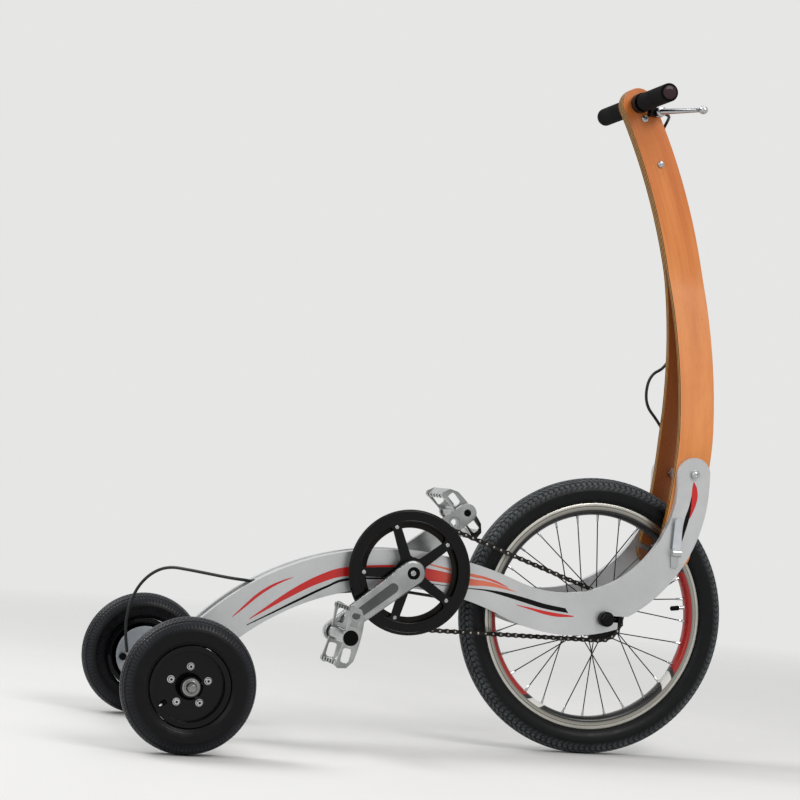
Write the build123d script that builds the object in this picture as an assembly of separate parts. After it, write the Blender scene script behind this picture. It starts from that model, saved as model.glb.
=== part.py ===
from build123d import *
from math import acos, asin, atan2, cos, degrees, hypot, pi, radians, sin, sqrt
import os

os.makedirs("parts", exist_ok=True)

# Stand-up tricycle: one driven wheel in front, two small wheels on a steering truck behind,
# and two laminated wooden legs that carry the grips and fold back over the frame.
# Millimetres. +X points forward, +Y to the left, +Z up.
# The origin is on the floor, midway between the front and the rear of the tyres.
# The right side is the chain side.

# Driving dimensions: wheels

wheelbase = 692.0
front_tyre_r = 224.0
front_tyre_w = 45.0
rear_tyre_r = 100.0
rear_tyre_w = 50.0
rear_track = 470.0

# Driving dimensions: frame plates

plate_t = 12.0
plate_gap_rear = 22.0
plate_gap_crank = 44.0
dropout_gap = 110.0
pivot_gap = 100.0
hump_top_z = 310.0
hump_bottom_z = 250.0
hump_bottom_lead = 4.0
tail_ahead = 36.0
tail_top_drop = 139.0
tail_bottom_drop = 120.5
tail_rake = 44.0
cup_inner_r = 188.0
cup_outer_r = 245.0
cup_floor_r = 250.0
cup_lead = 17.0
pivot_cap_r = 27.0
slot_w = 10.4
slot_back = 6.0
lip_len = 23.0
lip_chamfer = 17.0
plan_run_on = 60.0

# Driving dimensions: crank and chain

crank_back = 324.0
crank_z = 276.0
crank_len = 155.0
crank_angle = 39.1
ring_teeth = 44
cog_teeth = 18
chain_pitch = 12.7
chain_line = 45.0
tooth_root = 3.2
tooth_tip = 3.0
ring_band = 19.0
ring_bolt_r = 5.0
ring_bolt_in = 12.0
guard_r = 99.0
guard_band = 20.0
guard_t = 3.0
guard_step = 0.8
guard_edge = 1.6
guard_hub_r = 25.0
guard_root_w = 17.0
guard_tip_w = 14.0
guard_corner = 6.0
spindle_r = 8.0
shell_r = 20.0
crank_inner_y = 61.0
crank_t = 14.0
crank_root_r = 19.5
crank_tip_r = 15.5
crank_bevel = 2.5
crank_cup_r = 10.0
crank_cup_deep = 3.0
crank_hole_back = 27.0
crank_hole_r = 5.75
crank_hole_seat_r = 9.0
crank_panel = (40.0, 112.0)
crank_panel_half = 8.0
crank_panel_deep = 0.8

# Driving dimensions: pedals

pedal_len = 96.0
pedal_w = 102.0
pedal_end_t = 6.0
pedal_foot_h = 13.0
pedal_foot_dip = 4.0
pedal_belly_h = 15.5
pedal_shoulder_h = 13.0
pedal_shoulder = 33.0
pedal_nose_h = 5.0
pedal_nose_in = 3.0
pedal_bar = 6.0
pedal_hole_off = 27.0
pedal_hole = (22.0, 14.0)
pedal_hole_corner = 4.0
pedal_barrel_r = 11.0
pedal_cap_r = 13.4
pedal_cap_len = 8.0
pedal_cap_hole_r = 11.8
pedal_cap_hole_deep = 1.5
pedal_notches = 5
pedal_notch_w = 8.0
pedal_notch_h = 2.5
pedal_tilts = {-1: 79.0, 1: 131.0}
pedal_axle_r = 6.0
pedal_axle_short = 8.0
pedal_gap = 9.0

# Driving dimensions: folding legs

pivot_ahead = 138.0
pivot_z = 466.0
clamp_back = 25.0
clamp_drop = 129.0
leg_t = 11.0
leg_arc_r = 1030.0
leg_arc_z = 561.0
leg_w_low = 55.0
leg_w_mid = 58.0
leg_w_top = 53.0
leg_top_gap = 0.6
leg_inner_low = 38.0
leg_splay_low_z = 520.0
leg_splay_top_z = 790.0
bar_z = 1064.0
bar_r = 11.1
bar_half = 146.0
grip_r = 14.8
grip_len = 108.0
grip_edge = 2.0
leg_bolt_drops = (23.0, 94.0)
knuckle_r = 6.5
knuckle_half = 7.5
clamp_foot_h = 24.0
clamp_foot_t = 3.0
lever_len = 56.0
lever_t = 3.0
lever_root_w = 14.0
lever_tip_w = 11.0
lever_lip = 4.0

# Driving dimensions: rear truck

kingpin_tilt = 50.0
kingpin_r = 5.0
axle_r = 5.0
beam_tube_r = 13.0
drum_r = 47.0

# Clearances

run_fit = 0.05
bolt_fit = 0.15
seat_gap = 0.3
slide_gap = 1.0

# Places that follow from the sizes

front_x = (wheelbase + rear_tyre_r - front_tyre_r) / 2
rear_x = front_x - wheelbase
front_z = front_tyre_r
rear_z = rear_tyre_r
crank_x = front_x - crank_back
pivot_x = front_x + pivot_ahead
clamp_x = pivot_x - clamp_back
clamp_z = pivot_z - clamp_drop
leg_arc_x = pivot_x - sqrt(leg_arc_r**2 - (pivot_z - leg_arc_z) ** 2)
bar_x = leg_arc_x + sqrt(leg_arc_r**2 - (bar_z - leg_arc_z) ** 2)
ring_r = chain_pitch / (2 * sin(pi / ring_teeth))
cog_r = chain_pitch / (2 * sin(pi / cog_teeth))
cut_reach = wheelbase + front_tyre_r


# Helpers

def save(node, shape):
    """Write one node."""
    shape.label = node
    export_step(shape, f"parts/{node}.step")


def rod_y(x, z, y0, y1, r):
    """A round bar along Y between two planes."""
    return Pos(x, (y0 + y1) / 2, z) * Rot(90, 0, 0) * Cylinder(r, abs(y1 - y0))


def ring_y(x, z, y0, y1, r_out, r_in):
    """A washer or tube along Y."""
    return rod_y(x, z, y0, y1, r_out) - rod_y(x, z, min(y0, y1) - 1, max(y0, y1) + 1, r_in)


def hex_y(x, z, y0, y1, r, sides=6):
    """A six-sided or other even-sided bar along Y between two planes, r to its corners."""
    return Pos(x, max(y0, y1), z) * extrude(Plane.XZ * RegularPolygon(r, sides), abs(y1 - y0))


def rod(start, end, r, sides=0):
    """A round or many-sided bar between two points."""
    line = Line(start, end)
    plane = Plane(origin=start, z_dir=line % 0)
    section = RegularPolygon(r, sides) if sides else Circle(r)
    return extrude(plane * section, line.length)


def lathe_y(x, z, points):
    """A body turned about Y from a closed list of (radius, y) corners."""
    face = make_face(Polyline(*points, close=True))
    return Pos(x, 0, z) * revolve(face, Axis.Y)


def slab(face, y0, y1):
    """A side face as a slab between two Y planes."""
    return Pos(0, max(y0, y1), 0) * extrude(Plane.XZ * face, abs(y1 - y0))


def slab_xz(edges, y0, y1):
    """A side outline of edges, as a slab between two Y planes."""
    return slab(make_face(edges), y0, y1)


def slab_of(corners, y0, y1):
    """A side outline of straight edges through corners, as a slab."""
    return slab_xz(Polyline(*corners, close=True).edges(), y0, y1)


def box(x0, x1, y0, y1, z0, z1):
    """A block between corner planes."""
    centre = Pos((x0 + x1) / 2, (y0 + y1) / 2, (z0 + z1) / 2)
    return centre * Box(abs(x1 - x0), abs(y1 - y0), abs(z1 - z0))


def left_of(shape):
    """The mirror image of a right-hand piece."""
    return mirror(shape, about=Plane.XZ)


def polar(x, z, r, deg):
    """A point at a radius and an angle about (x, z)."""
    return (x + r * cos(radians(deg)), z + r * sin(radians(deg)))


def capsule(p, q, r_p, r_q):
    """Outline round two circles and their outer tangents, starting from the first circle."""
    heading = degrees(atan2(q[1] - p[1], q[0] - p[0]))
    lean = degrees(acos((r_p - r_q) / hypot(q[0] - p[0], q[1] - p[1])))
    a, b = heading + lean, heading - lean
    return [
        Line(polar(*p, r_p, a), polar(*q, r_q, a)),
        ThreePointArc(polar(*q, r_q, a), polar(*q, r_q, heading), polar(*q, r_q, b)),
        Line(polar(*q, r_q, b), polar(*p, r_p, b)),
        ThreePointArc(polar(*p, r_p, b), polar(*p, r_p, heading + 180), polar(*p, r_p, a)),
    ]


def circle_through(peak, other):
    """Centre and radius of the circle level at its peak that passes through another point."""
    drop = peak[1] - other[1]
    r = ((peak[0] - other[0]) ** 2 + drop**2) / (2 * drop)
    return (peak[0], peak[1] - r), r


def hump_to_cup(peak, cup, cup_r):
    """Circle level at its peak and tangent from outside to the cup circle, and their meeting point."""
    dx = cup[0] - peak[0]
    dz = cup[1] - peak[1]
    r = (dx**2 + dz**2 - cup_r**2) / (2 * (cup_r - dz))
    centre = (peak[0], peak[1] - r)
    share = r / (r + cup_r)
    meet = (centre[0] + (cup[0] - centre[0]) * share, centre[1] + (cup[1] - centre[1]) * share)
    return centre, r, meet


def arc_between(centre, r, start, end):
    """The short arc about a centre from one point to another."""
    a0 = atan2(start[1] - centre[1], start[0] - centre[0])
    a1 = atan2(end[1] - centre[1], end[0] - centre[0])
    turn = (a1 - a0 + pi) % (2 * pi) - pi
    middle = (centre[0] + r * cos(a0 + turn / 2), centre[1] + r * sin(a0 + turn / 2))
    return ThreePointArc(start, middle, end)


# Side plates of the frame: an S in side view, splayed in plan to pass the wheel

tail_x = rear_x + tail_ahead
tail_top = (tail_x, hump_top_z - tail_top_drop)
tail_bottom = (tail_x + tail_rake, hump_bottom_z - tail_bottom_drop)
peak_top = (crank_x - 10.0, hump_top_z)
peak_bottom = (crank_x + hump_bottom_lead, hump_bottom_z)
cup_in = (pivot_x - pivot_cap_r - cup_inner_r, pivot_z - cup_lead)
cup_out = (pivot_x + pivot_cap_r - cup_outer_r, pivot_z - cup_lead - 6.0)
cup_floor = (front_x - 62.0, pivot_z - 22.0)


def frame_outline(inset=0.0):
    """Closed side outline of a frame plate, moved inwards by the inset."""
    rear_c, rear_r = circle_through(peak_top, tail_top)
    top_c, top_r, top_meet = hump_to_cup(peak_top, cup_in, cup_inner_r)
    low_rear_c, low_rear_r = circle_through(peak_bottom, tail_bottom)
    low_c, low_r, low_meet = hump_to_cup(peak_bottom, cup_floor, cup_floor_r)

    def on(centre, r, point):
        length = hypot(point[0] - centre[0], point[1] - centre[1])
        return (centre[0] + (point[0] - centre[0]) * r / length,
                centre[1] + (point[1] - centre[1]) * r / length)

    top_tail = on(rear_c, rear_r - inset, tail_top)
    top_peak = (peak_top[0], peak_top[1] - inset)
    top_mid = on(top_c, top_r - inset, top_meet)
    inner_end = (cup_in[0] + cup_inner_r + inset, cup_in[1])
    cap_r = pivot_cap_r - inset
    cap_rear = (pivot_x - cap_r, pivot_z)
    cap_front = (pivot_x + cap_r, pivot_z)
    outer_top = (cup_out[0] + cup_outer_r - inset, cup_out[1])
    lip_x = front_x + lip_len + lip_chamfer - inset
    lip_drop = sqrt((cup_outer_r - inset) ** 2 - (lip_x - cup_out[0]) ** 2)
    lip_top = (lip_x, cup_out[1] - lip_drop)
    floor_x = front_x + lip_len - inset
    floor_z = cup_floor[1] - sqrt((cup_floor_r - inset) ** 2 - (floor_x - cup_floor[0]) ** 2)
    lip_mid = (floor_x, front_z + slot_w / 4)
    lip_end = (floor_x, floor_z)
    floor_mid = on(cup_floor, cup_floor_r - inset, low_meet)
    low_peak = (peak_bottom[0], peak_bottom[1] + inset)
    low_tail = on(low_rear_c, low_rear_r + inset, tail_bottom)
    return [
        arc_between(rear_c, rear_r - inset, top_tail, top_peak),
        arc_between(top_c, top_r - inset, top_peak, top_mid),
        arc_between(cup_in, cup_inner_r + inset, top_mid, inner_end),
        Line(inner_end, cap_rear),
        ThreePointArc(cap_rear, (pivot_x, pivot_z + cap_r), cap_front),
        Line(cap_front, outer_top),
        arc_between(cup_out, cup_outer_r - inset, outer_top, lip_top),
        Line(lip_top, lip_mid),
        Line(lip_mid, lip_end),
        arc_between(cup_floor, cup_floor_r - inset, lip_end, floor_mid),
        arc_between(low_c, low_r + inset, floor_mid, low_peak),
        arc_between(low_rear_c, low_rear_r + inset, low_peak, low_tail),
        Line(low_tail, top_tail),
    ]


# Middle line of the right plate in plan: x, half width to the plate's middle
plan_rear_y = (plate_gap_rear + plate_t) / 2
plan_crank_y = (plate_gap_crank + plate_t) / 2
plan_hub_y = (dropout_gap + plate_t) / 2
plan_pivot_y = (pivot_gap + plate_t) / 2
splay_start_x = crank_x + 96.0
splay_end_x = front_x - 104.0
plan_line = [
    (tail_x - plan_run_on, -plan_rear_y),
    (crank_x - 130.0, -(plan_rear_y + plan_crank_y) / 2),
    (splay_start_x, -plan_crank_y - 2.0),
    (splay_end_x, -plan_hub_y),
    (front_x + 28.0, -plan_hub_y),
    (pivot_x - 34.0, -plan_pivot_y),
    (pivot_x + plan_run_on, -plan_pivot_y),
]
plan_radii = [900.0, 230.0, 230.0, 260.0, 260.0]


def make_side_plate():
    """The right-hand plate with its axle slot, crank hole, pivot hole and clamp hole."""
    side = slab_xz(frame_outline(), -plan_hub_y - plate_t, 0)
    plan = trace(FilletPolyline(*plan_line, radius=plan_radii), plate_t)
    plate = side & extrude(plan, cut_reach)
    slot_mid_x = front_x + (lip_len + lip_chamfer) / 2
    slot_y0 = -plan_hub_y - plate_t
    slot = box(front_x, slot_mid_x + 40, slot_y0, 0, front_z - slot_w / 2, front_z + slot_w / 2)
    slot += rod_y(front_x, front_z, slot_y0, 0, slot_w / 2)
    plate -= slot
    plate -= rod_y(crank_x, crank_z, slot_y0, 0, shell_r + bolt_fit)
    plate -= rod_y(pivot_x, pivot_z, slot_y0, 0, pivot_bolt_r + bolt_fit)
    plate -= rod_y(clamp_x, clamp_z, slot_y0, 0, clamp_bolt_r + bolt_fit)
    return plate


# Fasteners shared by the pieces they hold

pivot_bolt_r = 4.0
clamp_bolt_r = 4.0
plate_outer_pivot = pivot_gap / 2 + plate_t
plate_outer_hub = dropout_gap / 2 + plate_t

side_plate_right = make_side_plate()
side_plate_left = left_of(side_plate_right)

# Web between the plates: closed on top, open underneath behind the crank, hollow

web_inset = 1.5
web_wall = 3.0
web_gap = 0.2
web_front_x = front_x - front_tyre_r - 20.0
web_slot_x = rear_x + 130.0
web_open_x = crank_x - 84.0
web_open_drop = 30.0


def gap_between_plates():
    """The space between the two plates behind the wheel, in plan, as a tall block."""
    side = [(x, y + plate_t / 2 + web_gap) for x, y in plan_line[:3]]
    mirrored = [(x, -y) for x, y in reversed(side)]
    return extrude(make_face(Polyline(*side, *mirrored, close=True)), cut_reach)


def make_web():
    """Channel between the plates, with the crank shell's seat and the cable slot at its rear."""
    reach = plan_crank_y + plate_t
    outer = slab_xz(frame_outline(web_inset), -reach, reach) & gap_between_plates()
    inner = slab_xz(frame_outline(web_inset + web_wall), -reach, reach)
    inner &= box(tail_x - cut_reach, web_front_x - web_wall, -reach, reach, 0, cut_reach)
    body = outer - inner
    body &= box(web_slot_x, web_front_x, -reach, reach, 0, cut_reach)
    body -= box(tail_x - cut_reach, web_open_x, -reach, reach, 0, crank_z - web_open_drop)
    body -= rod_y(crank_x, crank_z, -reach, reach, shell_r + bolt_fit)
    return body


web = make_web()

# Crank shell across the plates, with its bearing bore

shell_half = 36.0
crank_shell = ring_y(crank_x, crank_z, -shell_half, shell_half, shell_r, spindle_r + run_fit)

# Rear tyre, rim and hub, drawn for the right wheel about its own middle plane

bead_r = 59.5
rim_lip_half = 18.0
rim_well_r = 51.0
disc_y = 2.0
disc_t = 4.0
rear_hub_r = 19.0
rear_hub_half = 22.0
bolt_circle_r = 28.5
wheel_bolt_r = 4.5


# Rear tyre section from the crown to the bead: drop from the crown, inset from the widest
rear_section = [(0.0, 16.5), (5.5, 6.8), (21.0, 0.0), (33.0, 2.2)]


def rear_tyre(y):
    """Tyre with a rounded tread, side walls and beads on the rim, drawn as chords."""
    half = [(rear_tyre_r - drop, rear_tyre_w / 2 - inset) for drop, inset in rear_section]
    half.append((bead_r, rim_lip_half - 0.5))
    other = [(r, -across) for r, across in reversed(half)]
    return Pos(0, y, 0) * lathe_y(rear_x, rear_z, half + other)


def rear_rim(y, out):
    """Pressed rim: lips at both beads, a round well and a flat disc for the hub."""
    lip = rim_lip_half
    profile = [
        (bead_r - seat_gap, -lip),
        (bead_r - seat_gap, lip),
        (rim_well_r, lip - 1.5),
        (rim_well_r, disc_y + disc_t),
        (rear_hub_r + bolt_fit, disc_y + disc_t),
        (rear_hub_r + bolt_fit, disc_y),
        (rim_well_r, disc_y),
        (rim_well_r, -lip + 1.5),
    ]
    body = revolve(make_face(Polyline(*profile, close=True)), Axis.Y)
    turned = body if out > 0 else mirror(body, about=Plane.XZ)
    for k in range(5):
        bx, bz = polar(0, 0, bolt_circle_r, 18 + 72 * k)
        turned -= rod_y(bx, bz, -rim_lip_half, rim_lip_half, wheel_bolt_r / 1.5 + bolt_fit)
    return Pos(rear_x, y, rear_z) * turned


def rear_hub(y, out):
    """Bearing hub with its flange behind the disc and five bolts through it."""
    flange = (disc_y - 5.0, disc_y - seat_gap)
    profile = [
        (axle_r + run_fit, -rear_hub_half),
        (rear_hub_r, -rear_hub_half),
        (rear_hub_r, flange[0]),
        (bolt_circle_r + 8.0, flange[0]),
        (bolt_circle_r + 8.0, flange[1]),
        (rear_hub_r, flange[1]),
        (rear_hub_r, rear_hub_half - 6.0),
        (rear_hub_r - 4.0, rear_hub_half),
        (axle_r + run_fit, rear_hub_half),
    ]
    body = revolve(make_face(Polyline(*profile, close=True)), Axis.Y)
    for k in range(5):
        bx, bz = polar(0, 0, bolt_circle_r, 18 + 72 * k)
        shank = rod_y(bx, bz, flange[1] - 1, disc_y + disc_t + 1, wheel_bolt_r / 1.5)
        head = hex_y(bx, bz, disc_y + disc_t + seat_gap, disc_y + disc_t + 4.0, wheel_bolt_r)
        body += shank + head
    turned = body if out > 0 else mirror(body, about=Plane.XZ)
    return Pos(rear_x, y, rear_z) * turned


# Rear truck: a tube across the wheels, turning on an inclined kingpin

half_track = rear_track / 2
king_dir = (cos(radians(kingpin_tilt)), 0, sin(radians(kingpin_tilt)))
axle_half = half_track + 40.0


def on_kingpin(along, up=0.0):
    """A point on the kingpin's line, measured up it from the rear axle."""
    return (rear_x + king_dir[0] * along, up, rear_z + king_dir[2] * along)


def kingpin_bar(low, high, r):
    """A round body about the kingpin's line."""
    return rod(on_kingpin(low), on_kingpin(high), r)


bushing_r = 15.0
bushing_h = 11.0
hanger_top = 24.0
seat_plate_t = 7.0
lower_bush = (hanger_top + seat_gap, hanger_top + bushing_h)
seat_plate = (lower_bush[1] + seat_gap, lower_bush[1] + seat_gap + seat_plate_t)
seat_neck = (seat_plate[1], 70.0)
seat_block = (62.0, 94.0)
seat_high = 40.0
seat_low = 24.0
king_end = seat_block[1] + 8.0


def make_hanger():
    """Cross tube with a boss that turns on the kingpin."""
    tube_half = half_track - rear_hub_half - 2.0
    body = rod_y(rear_x, rear_z, -tube_half, tube_half, beam_tube_r)
    body += kingpin_bar(-14.0, hanger_top, bushing_r + 3.0)
    body -= rod_y(rear_x, rear_z, -tube_half - 1, tube_half + 1, axle_r + bolt_fit)
    body -= kingpin_bar(axle_r + 3.0, hanger_top + 1, kingpin_r + run_fit)
    return body


def beside_kingpin(along, off):
    """A point in side view at a distance up the kingpin's line and square to it."""
    x, _, z = on_kingpin(along)
    return (x - king_dir[2] * off, z + king_dir[0] * off)


def make_seat():
    """Block between the plates' rear ends, with a neck down to the plate the bushing bears on."""
    reach = plate_gap_rear / 2 - web_gap
    wide = plate_gap_rear
    corners = [
        beside_kingpin(seat_block[0], -seat_low),
        beside_kingpin(seat_block[1], -seat_low),
        beside_kingpin(seat_block[1], seat_high),
        beside_kingpin(seat_block[0], seat_high),
    ]
    block = slab_xz(Polyline(*corners, close=True).edges(), -wide, wide) & gap_between_plates()
    block &= slab_xz(frame_outline(web_inset), -wide, wide)
    body = block + kingpin_bar(*seat_plate, bushing_r + 4.0)
    body += kingpin_bar(seat_plate[1] - 1, seat_block[1] - 4, reach)
    body -= kingpin_bar(seat_plate[0] - 2, seat_block[1] + 2, kingpin_r + bolt_fit)
    return body


hanger = make_hanger()

# Front axle, its nuts and the chain tugs in the slots

nut_r = 12.0
nut_h = 12.0
front_axle_half = plate_outer_hub + nut_h - 2.0
front_axle = rod_y(front_x, front_z, -front_axle_half, front_axle_half, axle_r)


def front_nut():
    """Right-hand axle nut with its washer."""
    y0 = -plate_outer_hub - seat_gap
    body = ring_y(front_x, front_z, y0, y0 - nut_h, nut_r, axle_r + bolt_fit)
    return body


def chain_tug():
    """Bolt that lies in the slot, with the block that bears on the slot's mouth."""
    y = -plan_hub_y
    x0 = front_x + axle_r + seat_gap
    x1 = front_x + lip_len + seat_gap
    body = Pos((x0 + x1 + 4) / 2, y, front_z) * Rot(0, 90, 0) * Cylinder(2.5, x1 - x0 + 4)
    body += box(x1, x1 + 6.0, y - 7.0, y + 7.0, front_z - slot_w, front_z + slot_w / 2 - seat_gap)
    return body


axle_nuts = [front_nut(), left_of(front_nut())]
chain_tugs = [chain_tug(), left_of(chain_tug())]

# Front wheel

rim_half = 13.0
rim_top_r = 184.0
rim_bed_r = 176.0
rim_low_r = 164.0
flange_t = 1.5
hub_shell_r = 17.0
flange_r = 30.0
flange_y = 29.0
spokes_a_side = 14
spoke_r = 1.0
spoke_sides = 4
tyre_foot_half = 14.5
tyre_chords = 10


def make_front_tyre():
    """Tyre of round section, drawn as chords, with its beads between the rim's flanges."""
    section_r = front_tyre_w / 2
    core_r = front_tyre_r - section_r
    bead_half = rim_half - flange_t - seat_gap
    bead_in = rim_bed_r + seat_gap
    foot_r = rim_top_r + seat_gap
    foot = degrees(atan2(tyre_foot_half, foot_r - core_r))
    turns = [foot * (1 - 2 * k / tyre_chords) for k in range(1, tyre_chords)]
    profile = [(foot_r, bead_half), (foot_r, tyre_foot_half)]
    profile += [polar(core_r, 0, section_r, turn) for turn in turns]
    profile += [(foot_r, -tyre_foot_half), (foot_r, -bead_half), (bead_in, -bead_half), (bead_in, bead_half)]
    return lathe_y(front_x, front_z, profile)


def make_front_rim():
    """Double-wall rim with raised flanges."""
    profile = [
        (rim_low_r, -5.0),
        (rim_low_r + 4.0, -rim_half + 1.5),
        (rim_low_r + 8.0, -rim_half),
        (rim_top_r, -rim_half),
        (rim_top_r, -rim_half + flange_t),
        (rim_bed_r, -rim_half + flange_t),
        (rim_bed_r, rim_half - flange_t),
        (rim_top_r, rim_half - flange_t),
        (rim_top_r, rim_half),
        (rim_low_r + 8.0, rim_half),
        (rim_low_r + 4.0, rim_half - 1.5),
        (rim_low_r, 5.0),
    ]
    return lathe_y(front_x, front_z, profile)


def make_front_hub():
    """Hub shell with two flanges and the crossed spokes laced into them."""
    half = dropout_gap / 2 - 3.0
    profile = [
        (axle_r + run_fit, -half),
        (10.0, -half),
        (10.0, -chain_line + 4.0),
        (hub_shell_r, -chain_line + 4.0),
        (hub_shell_r, -flange_y - 2.0),
        (flange_r, -flange_y - 2.0),
        (flange_r, -flange_y + 2.0),
        (hub_shell_r, -flange_y + 2.0),
        (hub_shell_r, flange_y - 2.0),
        (flange_r, flange_y - 2.0),
        (flange_r, flange_y + 2.0),
        (hub_shell_r, flange_y + 2.0),
        (10.0, half - 4.0),
        (10.0, half),
        (axle_r + run_fit, half),
    ]
    body = lathe_y(front_x, front_z, profile)
    step = 360 / spokes_a_side
    spokes = []
    for side in (-1, 1):
        for k in range(spokes_a_side):
            lean = 2.0 if k % 2 else -2.0
            at = step * k + (side + 1) * step / 4
            hx, hz = polar(front_x, front_z, flange_r - 4.0, at)
            rx, rz = polar(front_x, front_z, rim_low_r - seat_gap, at + lean * step)
            spokes.append(rod((hx, side * flange_y, hz), (rx, side * 2.5, rz), spoke_r, spoke_sides))
    return body + spokes


def tooth_outline(x, z, teeth, pitch_r):
    """Outline of a sprocket: a valley and a blunt tip for each tooth."""
    corners = []
    for k in range(teeth):
        for r, share in ((pitch_r - tooth_root, 0.0), (pitch_r + tooth_tip, 0.38), (pitch_r + tooth_tip, 0.62)):
            corners.append(polar(x, z, r, 360 * (k + share) / teeth))
    return Polyline(*corners, close=True).edges()


def make_cog():
    """Toothed cog on the hub's right side."""
    blank = slab_xz(tooth_outline(front_x, front_z, cog_teeth, cog_r), -chain_line - 1.0, -chain_line + 1.0)
    blank -= rod_y(front_x, front_z, -chain_line - 2.0, -chain_line + 2.0, 10.0 + bolt_fit)
    return blank


# Chain: one fixed loop of links round the ring and the cog

link_r = 4.3
link_t = 1.0
chain_slot = 3.4
chain_plate = 2 * link_t
chain_bare = 35.0
roller_r = 3.4
roller_sides = 4


def link_plate(p, q, y0):
    """Plate with pointed ends about two pins."""
    heading = degrees(atan2(q.Y - p.Y, q.X - p.X))
    corners = [polar(p.X, p.Y, link_r, heading + turn) for turn in (120, 180, 240)]
    corners += [polar(q.X, q.Y, link_r, heading + turn) for turn in (-60, 0, 60)]
    return slab_of(corners, y0, y0 + link_t)


def make_chain():
    """Inner band all round, the outer plates of every second link on it, and rollers on the free runs."""
    ends = ((crank_x, crank_z), (front_x, front_z))
    edges = capsule(*ends, ring_r, cog_r)
    loop = Wire(edges)
    count = 2 * round(loop.length / chain_pitch / 2)
    step = loop.length / count
    pins = [loop.position_at(k / count) for k in range(count)]
    half_h = link_r * sin(radians(60))
    pieces = []
    for y0 in (-chain_line + chain_slot / 2, -chain_line - chain_slot / 2 - link_t):
        band = slab_xz(capsule(*ends, ring_r + half_h, cog_r + half_h), y0, y0 + link_t)
        pieces.append(band - slab_xz(capsule(*ends, ring_r - half_h, cog_r - half_h), y0 - 1, y0 + link_t + 1))
    for k in range(0, count, 2):
        outer = chain_slot / 2 + link_t
        pieces.append(link_plate(pins[k], pins[k + 1], -chain_line + outer))
        pieces.append(link_plate(pins[k], pins[k + 1], -chain_line - outer - link_t))
    top_run = edges[0].length
    low_start = top_run + edges[1].length
    low_run = low_start + edges[2].length
    reach = chain_slot / 2 + link_t / 2
    for k, pin in enumerate(pins):
        along = k * step
        on_top = chain_bare < along < top_run - chain_bare
        on_low = low_start + chain_bare < along < low_run - chain_bare
        if on_top or on_low:
            pieces.append(hex_y(pin.X, pin.Y, -chain_line - reach, -chain_line + reach, roller_r, roller_sides))
    return pieces[0] + pieces[1:]


# Crankset

crank_outer_y = crank_inner_y + crank_t
spindle_half = crank_outer_y - 3.0


def crank_arm(angle, side):
    """Tapered arm from the spindle to the pedal's thread, bevelled, with a panel and a second hole."""
    root = (crank_x, crank_z)
    tip = polar(*root, crank_len, angle)
    inner, outer = side * crank_inner_y, side * crank_outer_y
    arm = slab_xz(capsule(root, tip, crank_root_r, crank_tip_r), inner, outer)
    face = arm.faces().sort_by(Axis.Y)[-1 if side > 0 else 0]
    arm = chamfer(face.edges(), crank_bevel)
    panel = [polar(*root, along, angle) for along in crank_panel]
    arm -= slab_xz(
        capsule(*panel, crank_panel_half, crank_panel_half - 1.0), outer - side * crank_panel_deep, outer + side
    )
    arm -= rod_y(*root, outer - side * crank_cup_deep, outer + side, crank_cup_r)
    arm -= rod_y(*root, inner - side, outer + side, spindle_r + bolt_fit)
    arm -= rod_y(*tip, inner - side, outer + side, pedal_axle_r + bolt_fit)
    hole = polar(*root, crank_len - crank_hole_back, angle)
    arm -= rod_y(*hole, inner - side, outer + side, crank_hole_r)
    arm -= rod_y(*hole, inner - side, inner + side * crank_panel_deep, crank_hole_seat_r)
    return arm


def make_ring():
    """Toothed ring, carried at its bolts on the guard's spokes."""
    y0, y1 = -chain_line - 1.0, -chain_line + 1.0
    outer = slab_xz(tooth_outline(crank_x, crank_z, ring_teeth, ring_r), y0, y1)
    return outer - rod_y(crank_x, crank_z, y0 - 1, y1 + 1, ring_r - ring_band)


guard_spokes = 5


def guard_window(middle):
    """One opening between two spokes, about a middle angle, with rounded corners."""
    inner, outer = guard_hub_r, guard_r - guard_band
    half_turn = 180 / guard_spokes
    root_turn = half_turn - degrees(asin(guard_root_w / 2 / inner))
    tip_turn = half_turn - degrees(asin(guard_tip_w / 2 / outer))

    def corner(r, turn):
        return polar(crank_x, crank_z, r, middle + turn)

    edges = [
        Line(corner(inner, -root_turn), corner(outer, -tip_turn)),
        ThreePointArc(corner(outer, -tip_turn), corner(outer, 0), corner(outer, tip_turn)),
        Line(corner(outer, tip_turn), corner(inner, root_turn)),
        ThreePointArc(corner(inner, root_turn), corner(inner, 0), corner(inner, -root_turn)),
    ]
    face = make_face(edges)
    return fillet(face.vertices(), guard_corner)


def make_guard():
    """Five-spoked guard disc outside the chain, its spokes set back from the band."""
    back = -chain_line - chain_slot / 2 - chain_plate - slide_gap
    front = back - guard_t
    band_in = guard_r - guard_band
    body = rod_y(crank_x, crank_z, front + guard_step, back, band_in + guard_edge)
    angles = [crank_angle + 360 / guard_spokes * k for k in range(guard_spokes)]
    for a in angles:
        body -= slab(guard_window(a + 180 / guard_spokes), front - 1, back + 1)
    body += lathe_y(crank_x, crank_z, [
        (band_in, back),
        (guard_r, back),
        (guard_r, front + guard_edge),
        (guard_r - guard_edge, front),
        (band_in, front),
    ])
    body += rod_y(crank_x, crank_z, -crank_inner_y + seat_gap, back, crank_root_r)
    for a in angles:
        bolt = polar(crank_x, crank_z, ring_r - ring_bolt_in, a)
        body += rod_y(*bolt, back - 1, -chain_line - 1.0 - seat_gap, ring_bolt_r)
    body -= rod_y(crank_x, crank_z, -crank_inner_y - 5, 0, spindle_r + bolt_fit)
    return body


crank_angles = {-1: crank_angle + 180, 1: crank_angle}


def pedal_place(side):
    """Centre of the pedal's axle line at rest."""
    return polar(crank_x, crank_z, crank_len, crank_angles[side])


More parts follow.
